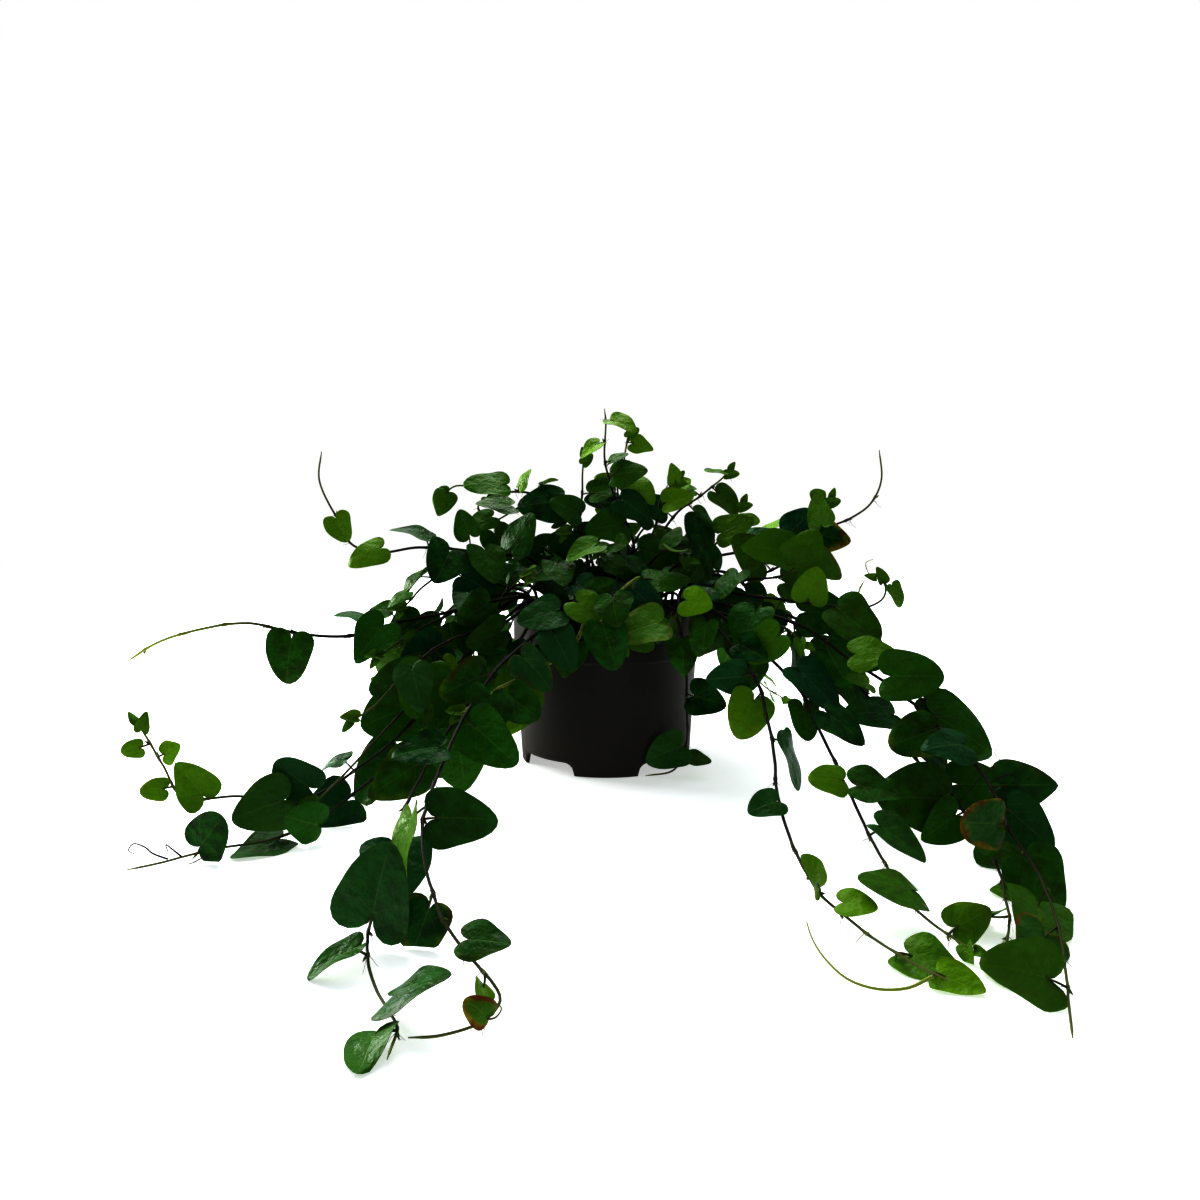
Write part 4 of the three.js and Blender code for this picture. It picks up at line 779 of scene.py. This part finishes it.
def grow(stems):
    """Places the leaves that show from the largest to the smallest, and then the others. Every
    leaf placed joins the arrays that the next is tested against."""
    point, radius, owner = [], [], []
    for stem in stems:
        steps = math.ceil(stem["length"] / STEP_ALONG_STEM)
        share = np.arange(steps + 1) / steps
        point.append(place_at(stem, share * stem["length"]))
        radius.append(mix(STEM_RADIUS_ROOT, STEM_RADIUS_TIP, share))
        owner.append(np.full(len(share), stem["index"]))
    sticks = {"point": np.vstack(point), "radius": np.concatenate(radius), "stem": np.concatenate(owner)}
    order = [(stem, number) for stem in stems for number in range(len(stem["leaves"]))]
    order.sort(key=lambda turn: 0 if turn[0]["ruled"] else -turn[0]["leaves"][turn[1]][1])
    placed = {key: np.zeros((0, 3) if key in BLADE_KEYS[:4] else 0) for key in BLADE_KEYS}
    placed["samples"] = np.zeros((0, len(SAMPLE_ANGLES) + 1, 3))
    for stem, number in order:
        station = np.float64(stem["leaves"][number][0])
        spot, tangent = place_at(stem, station), way_at(stem, station)
        tries = (try_leaf(stem, number, attempt, spot, tangent) for attempt in range(LEAF_TRIES))
        leaf = next((leaf for leaf in tries if is_clear(leaf, placed, sticks)), None)
        if leaf:
            stem["grown"].append(leaf)
            placed = {key: np.concatenate([values, np.asarray(leaf[key])[None]])
                      for key, values in placed.items()}
            added = {"point": leaf["stalk"], "radius": np.full(4, PETIOLE_HALF_WIDTH),
                     "stem": np.full(4, stem["index"])}
            sticks = {key: np.concatenate([values, added[key]]) for key, values in sticks.items()}
    for stem in stems:
        stem["grown"].sort(key=lambda leaf: leaf["station"])


grow(stems)

# The stem's tube, its petioles, roots, buds and curls are worked out apart and joined in one mesh.
STEM_SIDES = 8
STEM_STEP = 2.5
BARK_RADII = (1.15, 0.5)
FRESH_SHOOTS = ("left_whip", "front_left_pale", "front_pale")
FRESH_RADIUS = 0.75
BARE_STRETCH = 24
ROOTLETS_PER_JOINT = 3


def woody_shoot():
    """Bark: dull dark brown in two shades 1.2 mm apart, with paler corky specks of half a
    millimetre, turning to a waxy green on the growing end and to a soft brown on the roots."""
    material, node = new_material("woody_shoot")
    place = node("TexCoord").outputs["Object"]
    green, root = (node("Attribute", attribute_name=name).outputs["Fac"] for name in ("green", "root"))
    shade = node("TexNoise", place, 1 / (1.2 * MM), 4.0)
    speck = node("TexNoise", place, 1 / (0.5 * MM), 1.0)
    bark = node("Mix", shade, linear("#120b05"), linear("#2c1c0e"), **COLOURS)
    pores = node("MapRange", speck, 0.62, 0.7, 0.0, 0.45)
    corky = node("Mix", pores, bark, linear("#4d3d2a"), **COLOURS)
    fresh = node("Mix", green, corky, linear("#b4c65c"), **COLOURS)
    tone = node("Mix", root, fresh, linear("#3c2b1b"), **COLOURS)
    bump = node("Bump", 0.5, 0.15 * MM, named={"Height": shade})
    node("OutputMaterial", node("BsdfPrincipled", named={
        "Base Color": tone, "Roughness": 0.62, "Normal": bump, "Specular IOR Level": 0.3}))
    return material


def tubes(lines, radius, sides, green, root=0.0):
    """Closed round tubes along lines of equally many points, with a radius, a greenness and a share
    of root at each. A ring is centre + r (A cos a + B sin a), where A is the direction that the
    line turns about, square to it, and B = way x A."""
    way = unit(np.gradient(lines, axis=1))
    least = np.linalg.eigh(np.einsum("kni,knj->kij", way, way))[1][:, None, :, 0]
    first = unit(least - way * (way * least).sum(-1, keepdims=True))
    second = np.cross(way, first)
    angle = np.arange(sides)[:, None] / sides * TAU
    ring = first[:, :, None] * np.cos(angle) + second[:, :, None] * np.sin(angle)
    radius, green, root = (np.broadcast_to(value, lines.shape[:2]) for value in (radius, green, root))
    points = lines[:, :, None] + radius[..., None, None] * ring
    each = lines.shape[1] * sides
    shift = each * np.arange(len(lines))[:, None, None]
    ends = np.array([np.arange(sides)[::-1], np.arange(sides) + each - sides])
    return {"points": points.reshape(-1, 3), "green": np.repeat(green, sides), "root": np.repeat(root, sides),
            "faces": [(grid_quads(lines.shape[1], sides) + shift).reshape(-1, 4),
                      (ends + shift).reshape(-1, sides)]}


def joined(bodies):
    """One body of several: their points and values in a row, and their faces' numbers shifted."""
    starts = np.cumsum([0] + [len(body["points"]) for body in bodies])
    whole = {key: np.concatenate([body[key] for body in bodies]) for key in bodies[0] if key != "faces"}
    whole["faces"] = [faces + start for body, start in zip(bodies, starts) for faces in body["faces"]]
    return whole


def joints_of(stem):
    """Where the stem's joints are: at its leaves, and every 24 mm from 30 mm on where no leaf is
    left within 13 mm."""
    leaves = np.array([leaf["station"] for leaf in stem["grown"]])
    spare = np.arange(30, stem["length"] - 12, BARE_STRETCH)
    bare = spare[np.abs(spare[:, None] - leaves).min(1, initial=99) > 13]
    return np.sort(np.concatenate([leaves, bare]))


def stem_body(stem):
    """The stem's tube. Its radius goes from root to tip in a straight line, swells by a half in a
    bell 3 mm wide at each joint, and closes like a bud's point over the last 5 mm. At each joint
    it sways out by a third of a millimetre, now to one side and now to the other."""
    length = stem["length"]
    run = np.linspace(0, length, math.ceil(length / STEM_STEP) + 1)
    from_joint = run[:, None] - joints_of(stem)
    fresh = stem["name"] in FRESH_SHOOTS
    radius = mix(BARK_RADII[0], FRESH_RADIUS if fresh else BARK_RADII[1], run / length)
    radius = radius * (1 + 0.5 * np.minimum(1, np.exp(-(from_joint / 1.6) ** 2).sum(1)))
    radius = radius * np.clip((length - run) / 5, 0.25, 1) ** 0.6
    turns = np.exp(-(from_joint / 5) ** 2) @ (-1.0) ** np.arange(from_joint.shape[1])
    side = np.cross(way_at(stem, run), UP + FRONT * 0.4)
    foot = np.array([[*stem["root"], z] for z in (SOIL_TOP - HOLE_DEPTH + FIT, SOIL_TOP, STEM_START - 1)])
    line = np.vstack([foot, place_at(stem, run) + side * (0.35 * turns)[:, None]])
    from_foot = np.concatenate([[0] * 3, run / length])
    green = np.clip((from_foot - 0.6) / 0.4, 0, 1) ** 1.5 * (1.0 if fresh else 0.3)
    green = np.maximum(green, 0.6 * (stem["name"] in FRESH_SHOOTS[1:]))
    return tubes(line[None], np.concatenate([[BARK_RADII[0]] * 3, radius]), STEM_SIDES, green)


def petiole_body(stem):
    """Petioles from the stem's axis to their leaves, bowed up by half a millimetre in a half sine
    wave, 1.1 mm thick at the stem and 0.8 mm at the leaf."""
    t = np.linspace(0, 1, 7)
    spot, base, normal = (np.array([leaf[key] for leaf in stem["grown"]])[:, None]
                          for key in ("spot", "base", "normal"))
    line = spot + (base - spot) * t[:, None] + normal * (0.5 * np.sin(math.pi * t))[:, None]
    return tubes(line, mix(0.55, 0.4, t), 6, mix(0.06, 0.22, t))


def rootlet_body(stem):
    """Tufts of three curved hairs 2 to 5 mm long at each joint, a golden angle apart and turned
    away from the light, a third of a millimetre thick and thinner to the tip."""
    joints = joints_of(stem)
    number = np.arange(len(joints) * ROOTLETS_PER_JOINT)
    where = np.clip(np.repeat(joints, ROOTLETS_PER_JOINT) + 2.2 * np.sin(number * 5.1), 1, stem["length"] - 1)
    spot, way = place_at(stem, where), way_at(stem, where)
    down = -UP - FRONT * 0.3
    down = unit(down - way * (way @ down)[:, None])
    turn = (number * 2.4 % TAU)[:, None]
    out = np.cross(way, down) * np.cos(turn) + down * (np.abs(np.sin(turn)) + 0.3)
    length = (3.4 + 1.6 * np.sin(number * 9.7 + stem["index"]))[:, None, None]
    t = np.linspace(0, 1, 5)[:, None]
    curve = way[:, None] * 0.35 * np.sin(3 * t + turn[:, None]) * t
    line = spot[:, None] + length * (out[:, None] * t + curve + down[:, None] * 0.3 * t ** 2)
    line[..., 2] = np.maximum(line[..., 2], 0.3)
    return tubes(line, mix(0.16, 0.06, t[:, 0]), 3, 0.0, root=1.0)


def bud_body(stem):
    """A pointed bud in its sheath at each joint, 3 to 4.5 mm long and leaning 35 degrees away from
    the stem, a golden angle round from the last. It is thickest at a third of its length, with
    radius 0.62 mm sin(pi t^0.6) at a share t of it."""
    joints = joints_of(stem)
    number = np.arange(len(joints))
    spot, way = place_at(stem, joints), way_at(stem, joints)
    turn = (number * 2.4 + stem["index"])[:, None]
    side = unit(np.cross(way, UP + FRONT * 0.4))
    out = side * np.cos(turn) + np.cross(side, way) * np.sin(turn)
    length = (3.7 + 0.8 * np.sin(number * 7.3 + stem["index"]))[:, None, None]
    t = np.linspace(0, 1, 6)[:, None]
    line = spot[:, None] + length * (way[:, None] * 0.82 * t + out[:, None] * 0.57 * t ** 0.8)
    line[..., 2] = np.maximum(line[..., 2], 0.8)
    radius = 0.62 * np.sin(math.pi * np.clip(t[:, 0], 0.08, 0.97) ** 0.6)
    return tubes(line, radius, 5, (0.1 + 0.25 * (joints / stem["length"]) ** 2)[:, None])


# Hair-thin side shoots and dried tips that curl: the stem that each is on, its radius, how green
# it is, and the points it passes.
CURLS = [
    ("right_long_inner", 0.75, 0.7, [(122, -341, 5.5), (112, -345, 3), (100, -346, 3), (90, -340, 4),
                                    (83, -330, 8), (80, -322, 12), (79, -316, 16)]),
    ("left_low_outer", 0.55, 0.0, [(-206, -206, 5), (-205, -207, 10), (-207, -208, 15), (-203, -208, 19)]),
    ("left_low_outer", 0.5, 0.0, [(-214, -212, 5), (-217, -214, 9), (-220, -215, 12), (-219, -215, 8)]),
    ("left_low_outer", 0.5, 0.0, [(-219, -216, 5), (-225, -219, 9), (-228, -221, 13), (-233, -222, 15),
                                  (-235, -223, 12), (-232, -223, 10)]),
    ("left_low_outer", 0.5, 0.1, [(-200, -202, 5), (-204, -206, 3), (-208, -211, 1.5), (-210, -214, 1.5)]),
    ("right_long_upper", 0.35, 0.0, [(183, -188, 25), (191, -190, 36), (199, -190, 45), (203, -190, 48),
                                     (200, -190, 52), (202, -190, 57)]),
    ("right_heavy", 0.35, 0.0, [(187, -219, 45), (196, -222, 50), (201, -222, 47), (206, -224, 49)]),
    ("front_left_long", 0.4, 0.2, [(-46, -372, 5), (-40, -376, 8), (-38, -377, 12), (-41, -378, 15)]),
    ("right_mid", 0.35, 0.5, [(157, -105, 134), (153, -106, 139), (152, -106, 144), (156, -106, 146)]),
]


def curl_bodies(stem):
    """The stem's own curls, as tubes along smooth lines, each closing to a third of its radius."""
    t = np.linspace(0, 1, 25)
    return [tubes(smooth_line(through)(t)[None], radius * mix(1, 0.35, t), 5, green, root=0.4 * (green == 0))
            for name, radius, green, through in CURLS if name == stem["name"]]


wood = woody_shoot()
for stem in stems:
    shoot = [stem_body(stem), petiole_body(stem), rootlet_body(stem), bud_body(stem), *curl_bodies(stem)]
    piece(stem["name"] + "_shoot", joined(shoot), wood, "leafy_stem", stem["name"], sharp=60)

# Leaves.
# Every leaf is heart shaped, leathery and 6 to 36 mm long, deep green above and lighter below,
# and no two are quite alike. It grew on its petiole, and is light and thin while it is young.
BLADE_HALF_THICKNESS = 0.2
BLADE_COLUMNS = 32
BLADE_RINGS = 6
# The two leaves at a tip: how far below it they stand, their length, and how far they spread.
# Their numbers start past those of all other leaves, so their random draws are their own.
TIP_LEAVES = ((5.0, 9.0, 40 * DEGREE), (0.5, 6.0, -15 * DEGREE))
TIP_NUMBER = 60
# Stems that end bare, in a tendril or a tip that lies along the ground, and stems on which the last
# leaves are old.
BARE_TIPS = ("left_curl", "left_whip", "left_low_outer", "right_tendril", "front_left_long", "top_tall",
             "right_long_inner", "right_heavy", "right_long_upper", "front_left_outer",
             "front_right_drop")
OLD_TO_THE_TIP = ("front_left_long", "front_left_outer", "left_low_outer", "front_pale", "front_mid",
                  "front_left_pale")


def leathery_leaf():
    """A leathery leaf: deep green and satin above, softly puckered between faint sunken veins,
    lighter and duller below, light yellow green while young, and browned at some edges. Its green
    runs at random from leaf to leaf between a grassy tone and a bluish teal, and the teal is a
    painted sheen. A lateral vein runs where 4.5 v - |u| (1.8 |u| + 3.375) is whole, for u across
    and v along a blade of length 1, and it fades towards the edge."""
    material, node = new_material("leathery_leaf")
    soft = {"interpolation_type": "SMOOTHSTEP"}
    place = node("TexCoord").outputs["Object"]
    youth, tone_and_sheen, dry, reach, size = (node("Attribute", attribute_name=name).outputs["Fac"]
                                      for name in ("youth", "tone_and_sheen", "dry", "reach", "size"))
    blade = node("SeparateXYZ", node("Attribute", attribute_name="blade").outputs["Vector"]).outputs
    u, v, under = node("Math", blade[0], operation="ABSOLUTE"), blade[1], blade[2]

    bend = node("Math", u, 1.8, 3.375, operation="MULTIPLY_ADD")
    bend = node("Math", u, bend, operation="MULTIPLY")
    laterals = node("Math", node("Math", v, 4.5, operation="MULTIPLY"), bend, operation="SUBTRACT")
    from_vein = node("Math", node("Math", laterals, 0.5, operation="PINGPONG"), size, operation="MULTIPLY")
    lateral = node("Math", node("MapRange", from_vein, 0.45, 2.7, 1.0, 0.0, **soft),
                   node("MapRange", reach, 0.3, 0.9, 0.6, 0.0, **soft), operation="MULTIPLY")
    from_midrib = node("Math", u, size, operation="MULTIPLY")
    midrib = node("Math", node("MapRange", from_midrib, 0.15, 0.6, 1.0, 0.0, **soft),
                  node("MapRange", v, 0.5, 1.0, 1.0, 0.3, **soft), operation="MULTIPLY")
    cells = node("TexVoronoi", place, 1 / (2.1 * MM), feature="DISTANCE_TO_EDGE")
    network = node("MapRange", cells, 0.02, 0.16, 0.15, 0.0, **soft)
    veins = node("Math", node("Math", lateral, midrib, operation="MAXIMUM"), network, operation="MAXIMUM")

    patches = node("TexNoise", place, 1 / (7 * MM), 4.0)
    mature = node("Mix", node("MapRange", patches, 0.3, 0.7, **soft), linear("#04370b"), linear("#126319"),
                  **COLOURS)
    # Painted sheen: some leaves get a bluish teal in their base colour that stands for a sheen, while the
    # grassy end below is their own tone.
    painted_bluish_sheen = node("MapRange", tone_and_sheen, 0.55, 1.0, 0.0, 0.75, **soft)
    mature = node("Mix", painted_bluish_sheen, mature, linear("#075838"), **COLOURS)
    grassy = node("MapRange", tone_and_sheen, 0.4, 0.0, 0.0, 0.8, **soft)
    mature = node("Mix", grassy, mature, linear("#2a6c08"), **COLOURS)
    above = node("Mix", youth, mature, linear("#7caa08"), **COLOURS)
    above = node("Mix", node("Math", veins, 0.16, operation="MULTIPLY"), above, linear("#8fb04a"), **COLOURS)
    below = node("Mix", youth, linear("#1f5a14"), linear("#74a01c"), **COLOURS)
    below = node("Mix", node("Math", veins, 0.35, operation="MULTIPLY"), below, linear("#93b060"), **COLOURS)
    both = node("Mix", under, above, below, **COLOURS)
    blotches = node("TexNoise", place, 1 / (16 * MM))
    outer = node("Math", blotches, 1.2, reach, operation="MULTIPLY_ADD")
    edge = node("Math", dry, node("MapRange", outer, 1.38, 1.6, **soft), operation="MULTIPLY")
    brown = node("Mix", node("MapRange", patches, 0.4, 0.65, **soft), linear("#7a4a14"), linear("#9c9426"),
                 **COLOURS)

    sunken = node("Math", veins, node("MapRange", under, 0.0, 1.0, -0.35, 0.7), operation="MULTIPLY")
    puckers = node("TexNoise", place, 1 / (5 * MM))
    height = node("Math", puckers, 4.0, sunken, operation="MULTIPLY_ADD")
    satin = node("MapRange", patches, 0.3, 0.7, 0.32, 0.44, **soft)
    node("OutputMaterial", node("BsdfPrincipled", named={
        "Base Color": node("Mix", edge, both, brown, **COLOURS),
        "Roughness": node("Math", under, 0.25, satin, operation="MULTIPLY_ADD"),
        "Normal": node("Bump", 0.7, 0.45 * MM, named={"Height": height}),
        "IOR": 1.42, "Specular IOR Level": 0.16}))
    return material


def drawn(leaf, k):
    """The leaf's own kth random number."""
    return chance(leaf["stem"], leaf["number"], k)


def leaf_youth(leaf):
    """How light and thin a leaf still is, from 0 to 1: high on the leaves marked and on the young
    top shoot, less so where they are large, and otherwise rising over the last two fifths
    of the stem and for small leaves."""
    stem = stems[leaf["stem"]]
    if leaf["state"] == YOUNG or stem["name"] == "top_young":
        return 0.35 + 0.35 * np.clip((26 - leaf["length"]) / 10, 0, 1) + 0.3 * drawn(leaf, 22)
    late = np.clip((leaf["station"] / stem["length"] - 0.6) / 0.4, 0, 1)
    late *= stem["name"] not in OLD_TO_THE_TIP
    small = np.clip((17 - leaf["length"]) / 8, 0, 1)
    return 0.45 * max(late, small) + 0.15 * drawn(leaf, 22)


def leaf_dryness(leaf):
    """How far the edge has browned, from 0 to 1: fully where marked, and on others seldom, by the
    sixth power of a random number."""
    return 1.0 if leaf["state"] == WITHERED else 0.3 * drawn(leaf, 23) ** 6


def tip_leaves(stem):
    """Two young leaves at the stem's tip. They spread from the stem's way to opposite sides, as way
    cos s + side sin s, half folded along the midrib."""
    leaves = []
    for number, (below, length, spread) in enumerate(TIP_LEAVES, TIP_NUMBER):
        station = np.float64(stem["length"] - below)
        spot, way = place_at(stem, station), way_at(stem, station)
        side = unit(np.cross(way, FRONT + UP * 0.3))
        along = unit(way * math.cos(spread) + side * math.sin(spread))
        across = unit(np.cross(along, np.cross(side, way)))
        leaves.append({"stem": stem["index"], "number": number, "station": station, "base": spot + along,
                       "along": along, "across": across, "normal": np.cross(across, along), "state": 0,
                       "length": length, "breadth": 0.75, "fold": 0.9, "arch": 0.2})
    return leaves


def blade_bodies(leaves):
    """Leaf blades as thin closed shells round the petiole. A column leaves it at angle a, which is
    pi t |t|^0.25 for even t from -1 to 1, so the tip is finest. A ring lies at a share s of the
    outline's radius. No two tips are quite alike: near the tip the radius is that of the angle
    hypot(a, b) - b, for a bluntness b of the leaf's own, and up to 6% shorter. The outline is
    also uneven by 3.5% of sin(2 a + p) and 2% of sin(5 a + 1.7 p). The edge ripples by up to
    1.2 mm times s^3 sin(4 a), and the two skins lie half a thickness over and under the middle
    surface, closer at the edge."""
    count = len(leaves)
    t = np.linspace(-1, 1, BLADE_COLUMNS + 1)[:-1]
    angle = math.pi * t * np.abs(t) ** 0.25
    share = np.linspace(0, 1, BLADE_RINGS + 1)[1:, None] ** 0.9
    stack = {key: np.array([leaf[key] for leaf in leaves]) for key in BLADE_KEYS}
    number = np.array([[leaf["number"] + 7 * leaf["stem"]] for leaf in leaves])
    blunt = np.array([[0.05 + 0.24 * drawn(leaf, 24)] for leaf in leaves])
    near = blunt * np.exp(-(angle / 0.9) ** 2)
    edge_at = outline_radius(np.hypot(angle, near) - near) * (1 - 0.2 * blunt * np.exp(-(angle / 0.35) ** 2))
    edge_at *= 1 + 0.035 * np.sin(2 * angle + 2.1 * number) + 0.02 * np.sin(5 * angle + 3.6 * number)
    u, v = (np.hstack([np.zeros((count, 1)), (way(angle) * edge_at[:, None] * share).reshape(count, -1)])
            for way in (np.sin, np.cos))
    ring = np.append(0, (share + 0 * angle).ravel())
    turn = np.append(0, np.tile(angle, BLADE_RINGS))
    middle = blade_points(stack, u * (stack["breadth"] * stack["length"])[:, None],
                          v * stack["length"][:, None])
    ripple = np.sin(4 * turn + number) * ring ** 3 * np.minimum(1.2, stack["length"] / 28)[:, None]
    half = BLADE_HALF_THICKNESS * (1 - 0.55 * ring ** 4)
    points = np.stack([middle + stack["normal"][:, None] * (ripple + half * side)[..., None]
                       for side in (1, -1)], 1)
    points[..., 2] = np.maximum(points[..., 2], GROUND_GAP - 0.5 + 0.3 * np.array([1, -1])[:, None])

    top = 1 + np.arange(BLADE_COLUMNS)
    fan = np.stack([0 * top, np.roll(top, -1), top], -1)
    quads = grid_quads(BLADE_RINGS, BLADE_COLUMNS) + 1
    each = len(ring)
    edge = top + (BLADE_RINGS - 1) * BLADE_COLUMNS
    rim = np.stack([edge, np.roll(edge, -1), np.roll(edge, -1) + each, edge + each], -1)
    shift = 2 * each * np.arange(count)[:, None, None]
    faces = [(part + shift).reshape(-1, part.shape[1])
             for part in (fan, quads, fan[:, ::-1] + each, quads[:, ::-1] + each, rim)]

    # The 21st random draw sets each leaf's tone, from its own grassy green to the painted bluish sheen.
    looks = [[leaf_youth(leaf), drawn(leaf, 21), leaf_dryness(leaf), leaf["length"]] for leaf in leaves]
    youth, tone_and_sheen, dry, size = np.repeat(looks, 2 * each, axis=0).T
    under = np.tile(np.repeat([0.0, 1.0], each), count)
    blade = np.stack([np.tile(u, 2).ravel(), np.tile(v, 2).ravel(), under], -1)
    return {"points": points.reshape(-1, 3), "faces": faces, "youth": youth, "tone_and_sheen": tone_and_sheen, "dry": dry,
            "reach": np.tile(ring, 2 * count), "size": size, "blade": blade}


leaf_tissue = leathery_leaf()
for stem in stems:
    young = [] if stem["name"] in BARE_TIPS else tip_leaves(stem)
    blades = blade_bodies(stem["grown"] + young)
    piece(stem["name"] + "_leaves", blades, leaf_tissue, "leafy_stem", stem["name"], sharp=70)

# Floor and light.
# The plant stands on a plain white floor before a bright white backdrop, which goes on overhead. A
# broad soft light hangs over and behind it, and a small one stands at its left. The studio in
# front is dim, so the leaves that face it are deep and dark and the ones that face up shine.
FLOOR_SIZE = 3.0
FLOOR_GLOW = 0.6
STUDIO_GLOW = (0.12, 0.75)
BACKDROP_WAY = (0.0, 0.6, 0.8)
DARKENING = 0.6
mesh = bpy.data.meshes.new("floor")
half = FLOOR_SIZE / 2
mesh.from_pydata([(-half, -half, 0), (half, -half, 0), (half, half, 0), (-half, half, 0)], [], [(0, 1, 2, 3)])
paper, node = new_material("white_paper")
node("OutputMaterial", node("BsdfPrincipled", named={
    "Base Color": linear("#f2f2f2"), "Roughness": 0.9, "Emission Color": linear("#ffffff"),
    "Emission Strength": FLOOR_GLOW}))
mesh.materials.append(paper)
floor = bpy.data.objects.new("floor", mesh)
bpy.context.scene.collection.objects.link(floor)


def soft_light(name, place, aim, size, power):
    """A square area light of a side in metres at a place, turned to face a point."""
    lamp = bpy.data.lights.new(name, "AREA")
    lamp.size = size
    lamp.energy = power
    made = bpy.data.objects.new(name, lamp)
    made.location = place
    made.rotation_euler = (Vector(aim) - Vector(place)).to_track_quat("-Z", "Y").to_euler()
    bpy.context.scene.collection.objects.link(made)


soft_light("over_and_behind", (-0.25, 0.7, 1.3), (0, 0, 0.15), 1.2, 23)
soft_light("from_left", (-1.1, 0.6, 0.4), (0, 0, 0.1), 0.6, 18)
world = bpy.data.worlds.new("studio")
world.use_nodes = True
world.node_tree.nodes.clear()
node = functools.partial(add, world.node_tree)
over = node("VectorMath", node("TexCoord").outputs["Object"], BACKDROP_WAY, operation="DOT_PRODUCT")
glow = node("MapRange", over, -0.2, 0.8, *STUDIO_GLOW)
seen = node("LightPath").outputs["Is Camera Ray"]
strength = node("Math", glow, seen, operation="MAXIMUM")
colour = node("Mix", seen, linear("#ecf5ff"), linear("#ffffff"), **COLOURS)
node("OutputWorld", node("Background", colour, strength))
bpy.context.scene.world = world
bpy.context.scene.view_settings.view_transform = "Standard"
bpy.context.scene.view_settings.gamma = DARKENING

# Camera.
# The viewpoint lies 0.72 m in front at the height of the crown and looks a little down, through a
# slightly wide lens.
VIEWPOINT = (-4 * MM, -720 * MM, 193 * MM)
LOOK_DOWN = 6.6
LENS_LENGTH = 31.5
SENSOR_WIDTH = 36
lens = bpy.data.cameras.new("camera")
lens.lens = LENS_LENGTH
lens.sensor_width = SENSOR_WIDTH
camera = bpy.data.objects.new("camera", lens)
camera.location = VIEWPOINT
camera.rotation_euler = (math.radians(90 - LOOK_DOWN), 0, 0)
bpy.context.scene.collection.objects.link(camera)
bpy.context.scene.camera = camera

bpy.context.view_layer.update()
